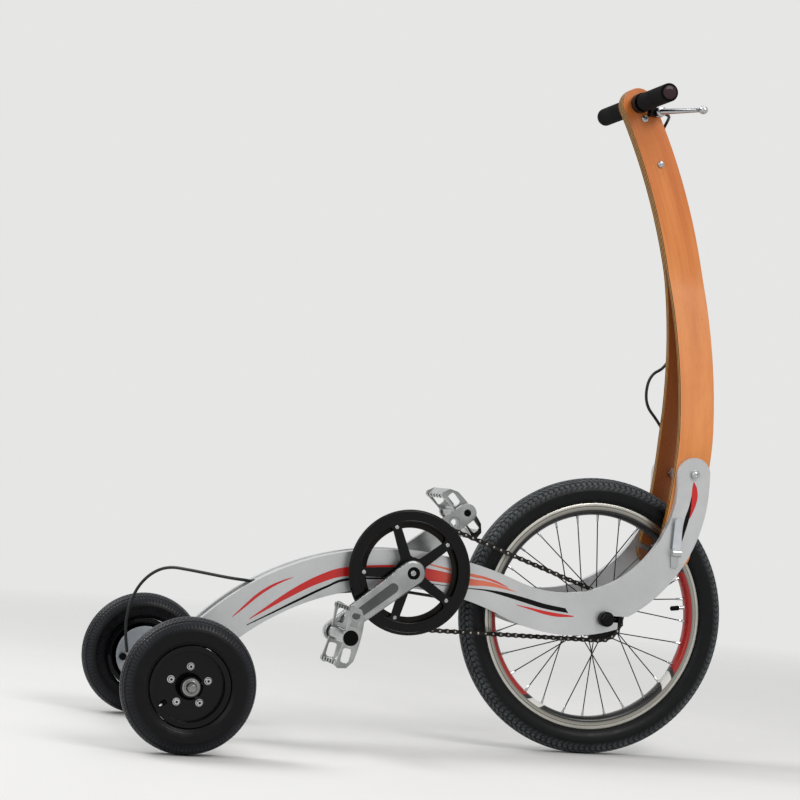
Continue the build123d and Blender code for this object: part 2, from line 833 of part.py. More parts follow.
def pedal_axle(side):
    """Stepped axle from the crank's outer face through the pedal."""
    x, z = pedal_place(side)
    y0 = crank_inner_y + 1.0
    y1 = crank_outer_y + pedal_gap + pedal_w - pedal_axle_short
    return rod_y(x, z, side * y0, side * y1, pedal_axle_r)


def pedal_end_face():
    """Side outline of a pedal's end plate: a dished foot side, a round belly and two windows."""
    half = pedal_len / 2
    nose = half - pedal_nose_in
    foot, belly = pedal_foot_h, -pedal_belly_h
    edges = [
        ThreePointArc((nose, foot), (0, foot - pedal_foot_dip), (-nose, foot)),
        Line((-nose, foot), (-half, foot - pedal_nose_h)),
        Line((-half, foot - pedal_nose_h), (-nose, -pedal_nose_h)),
        Line((-nose, -pedal_nose_h), (-pedal_shoulder, -pedal_shoulder_h)),
        ThreePointArc((-pedal_shoulder, -pedal_shoulder_h), (0, belly), (pedal_shoulder, -pedal_shoulder_h)),
        Line((pedal_shoulder, -pedal_shoulder_h), (nose, -pedal_nose_h)),
        Line((nose, -pedal_nose_h), (half, foot - pedal_nose_h)),
        Line((half, foot - pedal_nose_h), (nose, foot)),
    ]
    face = make_face(edges)
    for off in (-pedal_hole_off, pedal_hole_off):
        face -= Pos(off, 0) * RectangleRounded(*pedal_hole, pedal_hole_corner)
    return face


def pedal_body(side):
    """Cage of two end plates and two notched bars, round a barrel with a cap ring."""
    y_in = side * (crank_outer_y + pedal_gap)
    y_out = y_in + side * pedal_w
    half = pedal_len / 2
    plate = pedal_end_face()
    body = rod_y(0, 0, y_in, y_out, pedal_barrel_r)
    body += rod_y(0, 0, y_out - side * pedal_cap_len, y_out, pedal_cap_r)
    body += slab(plate, y_in, y_in + side * pedal_end_t)
    body += slab(plate, y_out - side * pedal_end_t, y_out)
    nose = half - pedal_nose_in
    for s in (-1, 1):
        bar = box(s * (nose - pedal_bar), s * nose, y_in, y_out, -pedal_nose_h, pedal_foot_h)
        step = pedal_w / (pedal_notches + 1)
        for k in range(pedal_notches):
            middle = y_in + side * step * (k + 1)
            bar -= box(
                s * (nose - pedal_bar - 1), s * (half + 1), middle - pedal_notch_w / 2, middle + pedal_notch_w / 2,
                pedal_foot_h - pedal_notch_h, pedal_foot_h + 1,
            )
        body += bar
    body -= rod_y(0, 0, y_out - side * pedal_cap_hole_deep, y_out + side, pedal_cap_hole_r)
    body -= rod_y(0, 0, y_in - side, y_out - side * 5.0, pedal_axle_r + run_fit)
    x, z = pedal_place(side)
    return Pos(x, 0, z) * Rot(0, -pedal_tilts[side], 0) * body


# Legs, bar and grips

def leg_edge(z, off):
    """A point beside the leg's curved middle line, at that line's height z."""
    a = asin((z - leg_arc_z) / leg_arc_r)
    return (leg_arc_x + (leg_arc_r + off) * cos(a), leg_arc_z + (leg_arc_r + off) * sin(a))


def leg_outline():
    """Side outline of a leg: two long arcs closed by round ends."""
    low, mid, top = (clamp_z + 6.0, leg_w_low / 2), (700.0, leg_w_mid / 2), (bar_z, leg_w_top / 2)
    front = [leg_edge(z, w) for z, w in (low, mid, top)]
    rear = [leg_edge(z, -w) for z, w in (top, mid, low)]
    slope = asin((bar_z - leg_arc_z) / leg_arc_r)
    crown = (bar_x - top[1] * sin(slope), bar_z + top[1] * cos(slope))
    foot = (clamp_x, clamp_z - leg_w_low / 2)
    return [
        ThreePointArc(*front),
        ThreePointArc(front[2], crown, rear[0]),
        ThreePointArc(*rear),
        ThreePointArc(rear[2], foot, front[0]),
    ]


leg_low_y = -(leg_inner_low + leg_t / 2)
leg_top_y = -(leg_top_gap + leg_t) / 2
leg_plan = [
    (leg_low_y, clamp_z - 60.0),
    (leg_low_y, leg_splay_low_z),
    (leg_top_y, leg_splay_top_z),
    (leg_top_y, bar_z + 60.0),
]


def make_leg():
    """Right leg with its pivot hole, bar hole and the open notch for the clamp bolt."""
    side = slab_xz(leg_outline(), leg_low_y - leg_t, 0)
    band = trace(FilletPolyline(*leg_plan, radius=320.0), leg_t)
    leg = side & (Pos(-cut_reach, 0, 0) * extrude(Plane.YZ * band, 2 * cut_reach))
    reach = leg_low_y - leg_t
    leg -= rod_y(pivot_x, pivot_z, reach, 0, pivot_bolt_r + run_fit)
    leg -= rod_y(bar_x, bar_z, reach, 1, bar_r + bolt_fit)
    clamp_r = hypot(clamp_back, clamp_drop)
    ring = ring_y(pivot_x, pivot_z, reach, 0, clamp_r + clamp_bolt_r + 0.8, clamp_r - clamp_bolt_r - 0.8)
    away = degrees(atan2(clamp_drop, -clamp_back))
    notch = ring & box(clamp_x - 60.0, clamp_x, reach, 0, clamp_z - 40, clamp_z + 60)
    notch += rod_y(clamp_x, clamp_z, reach, 0, clamp_bolt_r + 0.8)
    leg -= notch
    return leg


leg_right = make_leg()
leg_left = left_of(leg_right)
handle_bar = ring_y(bar_x, bar_z, -bar_half, bar_half, bar_r, bar_r - 2.0)
grip_in = bar_half + 2.0 - grip_len


def make_grip():
    """Foam sleeve with a closed outer end."""
    sleeve = rod_y(bar_x, bar_z, -grip_in, -bar_half - 2.0, grip_r)
    sleeve = chamfer(sleeve.edges().filter_by(GeomType.CIRCLE), grip_edge)
    return sleeve - rod_y(bar_x, bar_z, 0, -bar_half - seat_gap, bar_r + bolt_fit)


def leg_bolt(z):
    """Round-headed bolt through both legs above their splay."""
    x = leg_edge(z, 0)[0]
    half = leg_t + leg_top_gap / 2
    body = rod_y(x, z, -half - 3.0, -half - seat_gap, 5.5)
    body += rod_y(x, z, half + seat_gap, half + 4.0, 5.5)
    return body + rod_y(x, z, -half - 1, half + 1, 2.5)


leg_bolt_z = [bar_z - drop for drop in leg_bolt_drops]
for bolt_z in leg_bolt_z:
    hole = rod_y(leg_edge(bolt_z, 0)[0], bolt_z, -40, 40, 2.5 + bolt_fit)
    leg_right -= hole
    leg_left -= hole

# Pivot bolts: head outside the plate, nut inside the leg

head_h = 5.0


def pivot_bolt():
    """Right-hand hinge bolt."""
    outer = -plate_outer_pivot - seat_gap
    inner = -leg_inner_low + seat_gap
    body = rod_y(pivot_x, pivot_z, outer - head_h, inner + 6.0, pivot_bolt_r)
    body += rod_y(pivot_x, pivot_z, outer - head_h, outer, 7.0)
    body += hex_y(pivot_x, pivot_z, inner, inner + 6.0, 8.0)
    return body


def clamp_set():
    """Right-hand clamp: bolt and nut, a tapered foot on the plate and the round knuckle of the lever."""
    outer = -plate_outer_pivot - seat_gap
    inner = -leg_inner_low + 0.5
    body = rod_y(clamp_x, clamp_z, outer - 2.0, inner + 6.0, clamp_bolt_r)
    body += hex_y(clamp_x, clamp_z, inner, inner + 6.0, 8.0)
    foot = [
        (clamp_x - knuckle_half, clamp_z + knuckle_r),
        (clamp_x + knuckle_half, clamp_z + knuckle_r),
        (clamp_x + knuckle_half - 2.0, clamp_z - clamp_foot_h),
        (clamp_x - knuckle_half + 2.0, clamp_z - clamp_foot_h),
    ]
    body += slab_of(foot, outer - clamp_foot_t, outer)
    pin_y = outer - knuckle_r
    return body + rod((clamp_x - knuckle_half, pin_y, clamp_z), (clamp_x + knuckle_half, pin_y, clamp_z), knuckle_r)


def clamp_lever():
    """Flat tapered lever from the knuckle up along the plate, with a lip for the finger."""
    outer = -plate_outer_pivot - seat_gap
    back = outer - knuckle_r + lever_t / 2
    low, high = clamp_z + knuckle_r + seat_gap, clamp_z + lever_len
    root, tip = lever_root_w / 2, lever_tip_w / 2
    strap = [(clamp_x - root, low), (clamp_x + root, low), (clamp_x + tip, high), (clamp_x - tip, high)]
    lever = slab_of(strap, back - lever_t, back)
    lip = box(clamp_x - tip, clamp_x + tip, back - lever_t - lever_lip, back, high - lever_t, high)
    return lever + lip


pivot_bolts = [pivot_bolt(), left_of(pivot_bolt())]
clamp_right = clamp_set()
clamp_left = left_of(clamp_right)
lever_right = clamp_lever()
lever_left = left_of(lever_right)

# Brake lever on the bar, inside the right grip

lever_clamp_y = (-18.0, -34.0)
lever_tip = (bar_x + 62.0, -140.0, bar_z - 20.0)
lever_root = (bar_x + 26.0, -38.0, bar_z - 13.0)
brake_clamp = ring_y(bar_x, bar_z, *lever_clamp_y, bar_r + 5.0, bar_r + bolt_fit)
brake_clamp += box(bar_x + bar_r + 2.0, bar_x + 34.0, -36.0, -20.0, bar_z - 20.0, bar_z - 6.0)
brake_blade = rod(lever_root, lever_tip, 4.5)
brake_blade += Pos(*lever_tip) * Sphere(7.0)

# Brake back plate and its arm on the truck, inside the left wheel

drum_y = half_track - 32.0
brake_plate = ring_y(rear_x, rear_z, drum_y, drum_y + 5.0, drum_r, beam_tube_r + bolt_fit)
arm_x = rear_x - 37.0
brake_arm = rod_y(arm_x, rear_z - 4.0, drum_y - 10.0, drum_y - seat_gap, 6.0)

# Cables

cable_r = 2.5
cable_sides = 6


def cable(points):
    """Round cable along straight runs joined by arcs as large as the runs allow."""
    radii = []
    for a, b, c in zip(points, points[1:], points[2:]):
        first = Vector(*b) - Vector(*a)
        second = Vector(*c) - Vector(*b)
        turn = radians(first.get_angle(second))
        radii.append(0.45 * min(first.length, second.length) / max(0.001, sin(turn / 2) / cos(turn / 2)))
    path = FilletPolyline(*points, radius=radii)
    print("cable radii", [round(r) for r in radii])
    start = Plane(origin=points[0], z_dir=Vector(*points[1]) - Vector(*points[0]))
    return sweep(start * RegularPolygon(cable_r, cable_sides), path=path)


cable_gap = 0.15
hinge_gap = 2.8
plate_face = 3.0
rear_join = (rear_x + 67.0, 42.0, 248.0)
rear_join_dir = (-0.779, 0.622, 0.082)


def along_join(reach):
    """A point on the rear cable's line through its join."""
    return tuple(p + d * reach for p, d in zip(rear_join, rear_join_dir))


arm_y = plate_outer_pivot + plate_face
hub_y = plate_outer_hub + plate_face
frame_cable = [
    (pivot_x, arm_y + 7.0, pivot_z - hinge_gap),
    (pivot_x + 3.0, arm_y + 2.0, pivot_z - 38.0),
    (pivot_x + 1.0, arm_y + 0.8, pivot_z - 70.0),
    (pivot_x - 6.0, arm_y + 0.8, pivot_z - 118.0),
    (pivot_x - 17.0, arm_y + 1.5, pivot_z - 160.0),
    (front_x + 95.0, hub_y - 1.0, front_z + 54.0),
    (front_x + 55.0, hub_y, front_z + 32.0),
    (front_x, hub_y, front_z + 20.0),
    (front_x - 60.0, hub_y + 0.5, front_z + 12.0),
    (front_x - 110.0, hub_y, front_z + 8.0),
    (front_x - 170.0, hub_y - 14.5, front_z + 10.0),
    (front_x - 218.0, hub_y - 25.0, front_z + 8.0),
    (front_x - 262.0, hub_y - 44.0, front_z + 13.0),
    (crank_x - 10.0, 8.0, crank_z - 32.0),
    (crank_x - 78.0, 1.0, crank_z - 38.0),
    (crank_x - 130.0, 0.5, crank_z - 44.0),
    (crank_x - 196.0, 0.0, crank_z - 42.0),
    (crank_x - 240.0, 6.0, crank_z - 32.5),
    along_join(28.0 - 70.0),
    along_join(-cable_gap),
]
truck_cable = [
    along_join(cable_gap),
    along_join(36.0),
    (rear_x + 8.0, 96.0, 253.0),
    (rear_x - 16.0, 130.0, 236.0),
    (rear_x - 33.0, 158.0, 205.0),
    (rear_x - 40.0, 178.0, 160.0),
    (rear_x - 36.0, drum_y - 14.0, 126.0),
    (rear_x - 31.0, drum_y - 9.0, 104.0),
]
bar_cable = [
    (bar_x + 34.2, -28.0, bar_z - 13.0),
    (bar_x + 50.0, -26.0, bar_z - 14.0),
    (bar_x + 56.0, -4.0, bar_z - 19.0),
    (bar_x + 54.0, 16.5, bar_z - 36.0),
    (bar_x + 58.0, 15.5, bar_z - 90.0),
    (bar_x + 86.0, 15.5, bar_z - 168.0),
    (bar_x + 114.0, 16.5, bar_z - 264.0),
    (bar_x + 121.0, 27.5, bar_z - 350.0),
    (pivot_x - 22.0, 38.0, pivot_z + 176.0),
    (pivot_x - 52.0, 43.0, pivot_z + 160.0),
    (pivot_x - 54.0, 47.5, pivot_z + 112.0),
    (pivot_x - 26.0, 51.0, pivot_z + 84.0),
    (pivot_x - 4.0, arm_y - 9.0, pivot_z + 54.0),
    (pivot_x, arm_y + 4.0, pivot_z + 28.0),
    (pivot_x, arm_y + 7.0, pivot_z + hinge_gap),
]


# Write the nodes

save("side_plate_right", side_plate_right)
save("side_plate_left", side_plate_left)
save("frame_web", web)
save("crank_shell", crank_shell)
save("kingpin_seat", make_seat())
save("kingpin_bushing", kingpin_bar(*lower_bush, bushing_r) - kingpin_bar(0, king_end, kingpin_r + bolt_fit))
king_nut = kingpin_bar(seat_block[1] + seat_gap, king_end, 8.5)
save("kingpin", kingpin_bar(axle_r + 4.0, king_end + 2, kingpin_r) + king_nut)
save("front_axle", front_axle)
save("axle_nuts", Compound(children=axle_nuts))
save("chain_tugs", Compound(children=chain_tugs))
save("pivot_bolts", Compound(children=pivot_bolts))
save("clamp_right", clamp_right)
save("clamp_left", clamp_left)
save("clamp_lever_right", lever_right)
save("clamp_lever_left", lever_left)
save("chain", make_chain())
save("front_tyre", make_front_tyre())
save("front_rim", make_front_rim())
save("front_hub", make_front_hub())
save("front_cog", make_cog())
save("crank_spindle", rod_y(crank_x, crank_z, -spindle_half, spindle_half, spindle_r))
save("chain_ring", make_ring())
save("chain_guard", make_guard())
for name, side in (("right", -1), ("left", 1)):
    save(f"crank_arm_{name}", crank_arm(crank_angles[side], side))
    save(f"pedal_axle_{name}", pedal_axle(side))
    save(f"pedal_{name}", pedal_body(side))
    save(f"rear_tyre_{name}", rear_tyre(side * half_track))
    save(f"rear_rim_{name}", rear_rim(side * half_track, side))
    save(f"rear_hub_{name}", rear_hub(side * half_track, side))
save("leg_right", leg_right)
save("leg_left", leg_left)
save("handle_bar", handle_bar)
save("grip_right", make_grip())
save("grip_left", left_of(make_grip()))
save("leg_bolts", Compound(children=[leg_bolt(z) for z in leg_bolt_z]))
save("brake_clamp", brake_clamp)
save("brake_blade", brake_blade)
save("truck_hanger", hanger)
save("rear_axle", rod_y(rear_x, rear_z, -axle_half, axle_half, axle_r))
save("brake_plate", brake_plate)
save("brake_arm", brake_arm)
save("brake_cable_frame", cable(frame_cable))
save("brake_cable_truck", cable(truck_cable))
save("brake_cable_bar", cable(bar_cable))
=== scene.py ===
from math import asin, atan2, cos, degrees, hypot, pi, radians, sin, sqrt

import bmesh
import bpy
import numpy as np
from mathutils import Matrix, Vector
from mathutils.bvhtree import BVHTree

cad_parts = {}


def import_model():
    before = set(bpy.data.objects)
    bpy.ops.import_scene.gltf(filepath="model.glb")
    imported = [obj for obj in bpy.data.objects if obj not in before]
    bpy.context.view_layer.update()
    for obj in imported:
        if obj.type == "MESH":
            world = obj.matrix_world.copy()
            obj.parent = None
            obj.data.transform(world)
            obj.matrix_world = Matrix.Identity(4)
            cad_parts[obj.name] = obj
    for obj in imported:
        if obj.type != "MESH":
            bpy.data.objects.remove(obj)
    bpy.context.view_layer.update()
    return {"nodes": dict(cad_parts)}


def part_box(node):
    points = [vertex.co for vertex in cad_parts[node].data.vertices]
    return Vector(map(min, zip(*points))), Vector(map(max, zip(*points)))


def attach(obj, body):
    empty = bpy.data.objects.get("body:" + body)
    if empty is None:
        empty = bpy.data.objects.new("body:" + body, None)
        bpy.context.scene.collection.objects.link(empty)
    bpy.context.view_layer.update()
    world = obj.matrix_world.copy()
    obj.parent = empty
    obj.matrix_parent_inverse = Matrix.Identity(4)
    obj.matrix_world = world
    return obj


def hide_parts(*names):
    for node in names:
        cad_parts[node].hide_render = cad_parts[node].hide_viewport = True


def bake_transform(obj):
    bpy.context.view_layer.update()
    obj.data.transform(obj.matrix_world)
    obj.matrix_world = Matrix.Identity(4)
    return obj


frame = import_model()
nodes = frame["nodes"]

# The looks of a stand-up tricycle. Sizes are in millimetres here, and metres in Blender.
MM = 0.001
sides = ((-1, "right"), (1, "left"))


# Places that the frame gives


def middle(node):
    """The middle of a node's box."""
    low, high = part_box(node)
    return (low + high) / 2 / MM


def reach(node, axis, end):
    """The lowest (end 0) or highest (end 1) value of a node along an axis."""
    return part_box(node)[end][axis] / MM


front_x, _, front_z = middle("front_tyre")
crank_x, _, crank_z = middle("chain_ring")
rear_x, _, rear_z = middle("rear_tyre_right")
pivot_x, _, pivot_z = middle("pivot_bolts")
bar_x, _, bar_z = middle("handle_bar")
front_r = reach("front_tyre", 2, 1) - front_z
rear_r = reach("rear_tyre_right", 2, 1) - rear_z
half_track = -middle("rear_tyre_right")[1]
chain_line = -middle("chain_ring")[1]
pedal_at = {name: middle(f"pedal_axle_{name}") for _, name in sides}
crank_len = hypot(pedal_at["left"][0] - crank_x, pedal_at["left"][2] - crank_z)
crank_angle = degrees(atan2(pedal_at["left"][2] - crank_z, pedal_at["left"][0] - crank_x))
arm_outer = reach("crank_arm_left", 1, 1)
guard_rim_r = reach("chain_guard", 0, 1) - crank_x
plate_outer_hub = -reach("side_plate_right", 1, 0)
pivot_head = -reach("pivot_bolts", 1, 0)
bar_end = reach("grip_left", 1, 1)

# Crankset: the guard's band and bolts, the panel and the second hole of an arm
guard_inner_r = guard_rim_r - 20.0
guard_step = 0.8
guard_bolt_r = 74.5
crank_panel = (31.5, 119.5)
crank_panel_half = 8.6
crank_hole_back = 27.0


# Shape helpers


def polar(x, z, r, deg):
    """A point in side view at a radius and an angle about (x, z)."""
    return x + r * cos(radians(deg)), z + r * sin(radians(deg))


def smooth(mesh):
    """Shade every face smooth."""
    mesh.polygons.foreach_set("use_smooth", [True] * len(mesh.polygons))


class Shape:
    """Collects the faces of one piece. Its steps give the shape back, so that they can be chained."""

    def __init__(self):
        self.verts = []
        self.faces = []

    def add(self, verts, faces):
        """Add a patch with its own vertices."""
        base = len(self.verts)
        self.verts.extend(tuple(v) for v in verts)
        self.faces.extend(tuple(base + i for i in face) for face in faces)
        return self

    def grid(self, rows, wrap_u=True, wrap_v=False):
        """Quads over a list of equal rows of points."""
        n, m = len(rows), len(rows[0])
        faces = []
        for i in range(n if wrap_v else n - 1):
            here, ahead = i * m, (i + 1) % n * m
            for j in range(m if wrap_u else m - 1):
                k = (j + 1) % m
                faces.append((here + j, here + k, ahead + k, ahead + j))
        return self.add([p for row in rows for p in row], faces)

    def lathe(self, centre, profile, steps=96, closed=True):
        """A body turned about Y through centre, from a list of (radius, y)."""
        x, y, z = centre
        rows = []
        for r, across in profile:
            ring = [polar(x, z, max(r, 0.001), 360 * k / steps) for k in range(steps)]
            rows.append([(px, y + across, pz) for px, pz in ring])
        return self.grid(rows, wrap_v=closed)

    def cap(self, centre, profile, facing, steps=40):
        """A turned cap on a face that looks along Y: profile of (radius, height above the face)."""
        return self.lathe(centre, [(r, facing * h) for r, h in profile], steps, closed=False)

    def prism(self, outline, y0, y1):
        """A side outline of (x, z) points as a slab between two Y planes."""
        n = len(outline)
        verts = [(x, y0, z) for x, z in outline] + [(x, y1, z) for x, z in outline]
        faces = [(i, (i + 1) % n, n + (i + 1) % n, n + i) for i in range(n)]
        return self.add(verts, faces + [tuple(range(n - 1, -1, -1)), tuple(range(n, 2 * n))])

    def tube(self, points, radius, sides=10):
        """A round tube along a line of points. The radius may be one for each point."""
        line = [Vector(p) for p in points]
        radii = radius if hasattr(radius, "__len__") else [radius] * len(line)
        side = (line[1] - line[0]).normalized().orthogonal().normalized()
        rows = []
        for i, point in enumerate(line):
            ahead = line[min(i + 1, len(line) - 1)] - line[max(i - 1, 0)]
            ahead.normalize()
            side = (side - ahead * side.dot(ahead)).normalized()
            up = ahead.cross(side)
            turns = [2 * pi * k / sides for k in range(sides)]
            rows.append([point + (side * cos(t) + up * sin(t)) * radii[i] for t in turns])
        base = len(self.verts)
        self.grid(rows)
        last = len(self.verts) - sides
        self.faces += [tuple(range(base + sides - 1, base - 1, -1)), tuple(range(last, last + sides))]
        return self

    def piece(self, name, body, finish, slot, replaces=(), sharp=35.0):
        """The Blender object with its faces turned outwards, riding on a body if one is given."""
        mesh = bpy.data.meshes.new(name)
        mesh.from_pydata((np.array(self.verts, dtype=float) * MM).tolist(), [], self.faces)
        mesh.validate()
        mesh.update()
        work = bmesh.new()
        work.from_mesh(mesh)
        bmesh.ops.recalc_face_normals(work, faces=work.faces)
        work.to_mesh(mesh)
        work.free()
        smooth(mesh)
        mesh.set_sharp_from_angle(angle=radians(sharp))
        mesh.materials.append(finish.material)
        made = bpy.data.objects.new(name, mesh)
        bpy.context.scene.collection.objects.link(made)
        if body:
            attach(made, body)
        if replaces:
            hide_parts(*replaces)
        return made


# Material helpers


def tone(red, green, blue):
    """A display colour from 0 to 255 as Blender's linear colour."""
    def linear(v):
        v = v / 255
        return v / 12.92 if v <= 0.04045 else ((v + 0.055) / 1.055) ** 2.4

    return linear(red), linear(green), linear(blue), 1.0


def connect(tree, socket, value):
    """Link or set a socket."""
    if isinstance(value, bpy.types.NodeSocket):
        tree.links.new(value, socket)
    else:
        socket.default_value = value


def add_node(tree, kind, inputs=None, **settings):
    """A node with its settings, constants and links."""
    made = tree.nodes.new(kind)
    for key, value in settings.items():
        setattr(made, key, value)
    for key, value in (inputs or {}).items():
        connect(tree, made.inputs[key], value)
    return made


class Finish:
    """A Principled material built from nodes. Its places are in millimetres."""

    def __init__(self, name, **constants):
        self.material = bpy.data.materials.new(name)
        self.material.use_nodes = True
        self.tree = self.material.node_tree
        self.shader = self.tree.nodes["Principled BSDF"]
        for key, value in constants.items():
            self.put(key.replace("_", " "), value)
        self.place = self.node("ShaderNodeTexCoord").outputs["Object"]

    def put(self, key, value):
        """Link or set a shader input."""
        connect(self.tree, self.shader.inputs[key], value)

    def node(self, kind, inputs=None, **settings):
        """A node of this material."""
        return add_node(self.tree, kind, inputs, **settings)

    def math(self, operation, *values):
        """The result of a Math node."""
        return self.node("ShaderNodeMath", dict(enumerate(values)), operation=operation).outputs[0]

    def times(self, first, second):
        """A product."""
        return self.math("MULTIPLY", first, second)

    def plus(self, first, second, share=1.0):
        """A sum, with the second value scaled."""
        return self.math("MULTIPLY_ADD", second, share, first)

    def size(self, value):
        """A value without its sign."""
        return self.math("ABSOLUTE", value)

    def stretch(self, scale, vector=None):
        """Coordinates scaled along each axis."""
        inputs = {"Vector": vector or self.place, "Scale": scale}
        return self.node("ShaderNodeMapping", inputs).outputs[0]

    def noise(self, scale, detail=3.0, vector=None, rough=0.5):
        """Noise from 0 to 1."""
        inputs = {"Vector": vector or self.place, "Scale": scale, "Detail": detail, "Roughness": rough}
        return self.node("ShaderNodeTexNoise", inputs).outputs[0]

    def ramp(self, value, stops):
        """A colour ramp from (place, colour) stops."""
        made = self.node("ShaderNodeValToRGB", {"Fac": value})
        elements = made.color_ramp.elements
        while len(elements) < len(stops):
            elements.new(0.5)
        for element, (at, colour) in zip(elements, stops):
            element.position = at
            element.color = colour
        return made.outputs["Color"]

    def cloud(self, scale, detail, dark, light, low=0.3, high=0.7):
        """Two tones that pass into each other in clouds."""
        return self.ramp(self.noise(scale, detail), [(low, tone(*dark)), (high, tone(*light))])

    def steps(self, value, low, high, to_low=0.0, to_high=1.0):
        """A value mapped between two ranges and clamped."""
        ends = {"From Min": low, "From Max": high, "To Min": to_low, "To Max": to_high}
        return self.node("ShaderNodeMapRange", {"Value": value, **ends}).outputs[0]

    def mix(self, share, first, second):
        """Two colours mixed."""
        return self.node("ShaderNodeMix", {0: share, 6: first, 7: second}, data_type="RGBA").outputs[2]

    def over(self, base, value, low, high, share, colour):
        """A tone laid over a colour: none where a value is low, and a share of it where it is high."""
        return self.mix(self.steps(value, low, high, 0.0, share), base, tone(*colour))

    def axes(self):
        """X, Y and Z of the place."""
        split = self.node("ShaderNodeSeparateXYZ", {"Vector": self.place})
        return [self.math("DIVIDE", out, MM) for out in split.outputs]

    def radius(self, x, z):
        """Distance in side view from a point, and the angle about it in degrees."""
        axes = self.axes()
        dx = self.math("SUBTRACT", axes[0], x)
        dz = self.math("SUBTRACT", axes[2], z)
        away = self.math("SQRT", self.plus(self.times(dx, dx), dz, dz))
        return away, self.math("DEGREES", self.math("ARCTAN2", dz, dx))

    def colour(self, value):
        """The base colour."""
        self.put("Base Color", value)
        return self

    def rough(self, low, high, scale=40.0, detail=4.0):
        """Roughness that wanders between two values."""
        self.put("Roughness", self.steps(self.noise(scale, detail), 0.35, 0.65, low, high))

    def relief(self, height, depth):
        """Bump from a height field and its depth. It ends a material."""
        made = self.node("ShaderNodeBump", {"Height": height, "Distance": depth * MM, "Strength": 1.0})
        self.put("Normal", made.outputs["Normal"])
        return self


# Materials


def metal(name, dark, light, rough, grain=400.0, coat=0.0, metallic=1.0, depth=0.02):
    """Plain metal with cloudy tone and fine grain."""
    made = Finish(name, Metallic=metallic, Coat_Weight=coat, Coat_Roughness=0.12)
    made.colour(made.cloud(25.0, 5.0, dark, light))
    made.rough(*rough)
    return made.relief(made.noise(grain, 2.0), depth)


def crank_alloy():
    """Polished crank alloy, darker in the arms' recessed panels."""
    made = metal("crank_alloy", (132, 135, 134), (180, 183, 182), (0.13, 0.22), 350.0, 0.25, 0.8)
    light = made.shader.inputs["Base Color"].links[0].from_socket
    away, turn = made.radius(crank_x, crank_z)
    lean = made.math("RADIANS", made.math("SUBTRACT", turn, crank_angle))
    along = made.size(made.times(away, made.math("COSINE", lean)))
    across = made.size(made.times(away, made.math("SINE", lean)))
    out = made.size(made.axes()[1])
    share = made.steps(out, arm_outer - 0.45, arm_outer - 0.2, 0.85, 0.0)
    for value, low, high, to_low, to_high in (
        (out, arm_outer - 1.4, arm_outer - 1.1, 0.0, 1.0),
        (along, crank_panel[0], crank_panel[0] + 1.0, 0.0, 1.0),
        (along, crank_panel[1] - 1.0, crank_panel[1], 1.0, 0.0),
        (across, crank_panel_half - 0.5, crank_panel_half, 1.0, 0.0),
    ):
        share = made.times(share, made.steps(value, low, high, to_low, to_high))
    return made.colour(made.mix(share, light, tone(54, 57, 56)))


def frame_paint():
    """Satin silver paint with fine metal flake and faint orange peel."""
    made = Finish("silver_paint", Metallic=0.62, Coat_Weight=0.45, Coat_Roughness=0.16)
    flake = made.cloud(2600.0, 1.0, (164, 165, 167), (212, 213, 214), 0.38, 0.62)
    base = made.cloud(9.0, 4.0, (180, 181, 183), (202, 203, 204))
    made.colour(made.mix(0.35, base, flake))
    made.rough(0.30, 0.40, 60.0)
    return made.relief(made.plus(made.noise(220.0, 2.0), made.noise(1800.0, 1.0), 0.3), 0.04)


# Legs: two long arcs about one centre in side view, and their spread between two heights
leg_arc_z = 561.0
leg_arc_r = 1030.0
leg_arc_x = pivot_x - sqrt(leg_arc_r**2 - (pivot_z - leg_arc_z) ** 2)
leg_t = 11.0
leg_low_y = 43.5
leg_top_y = 5.8
leg_splay = (520.0, 790.0)


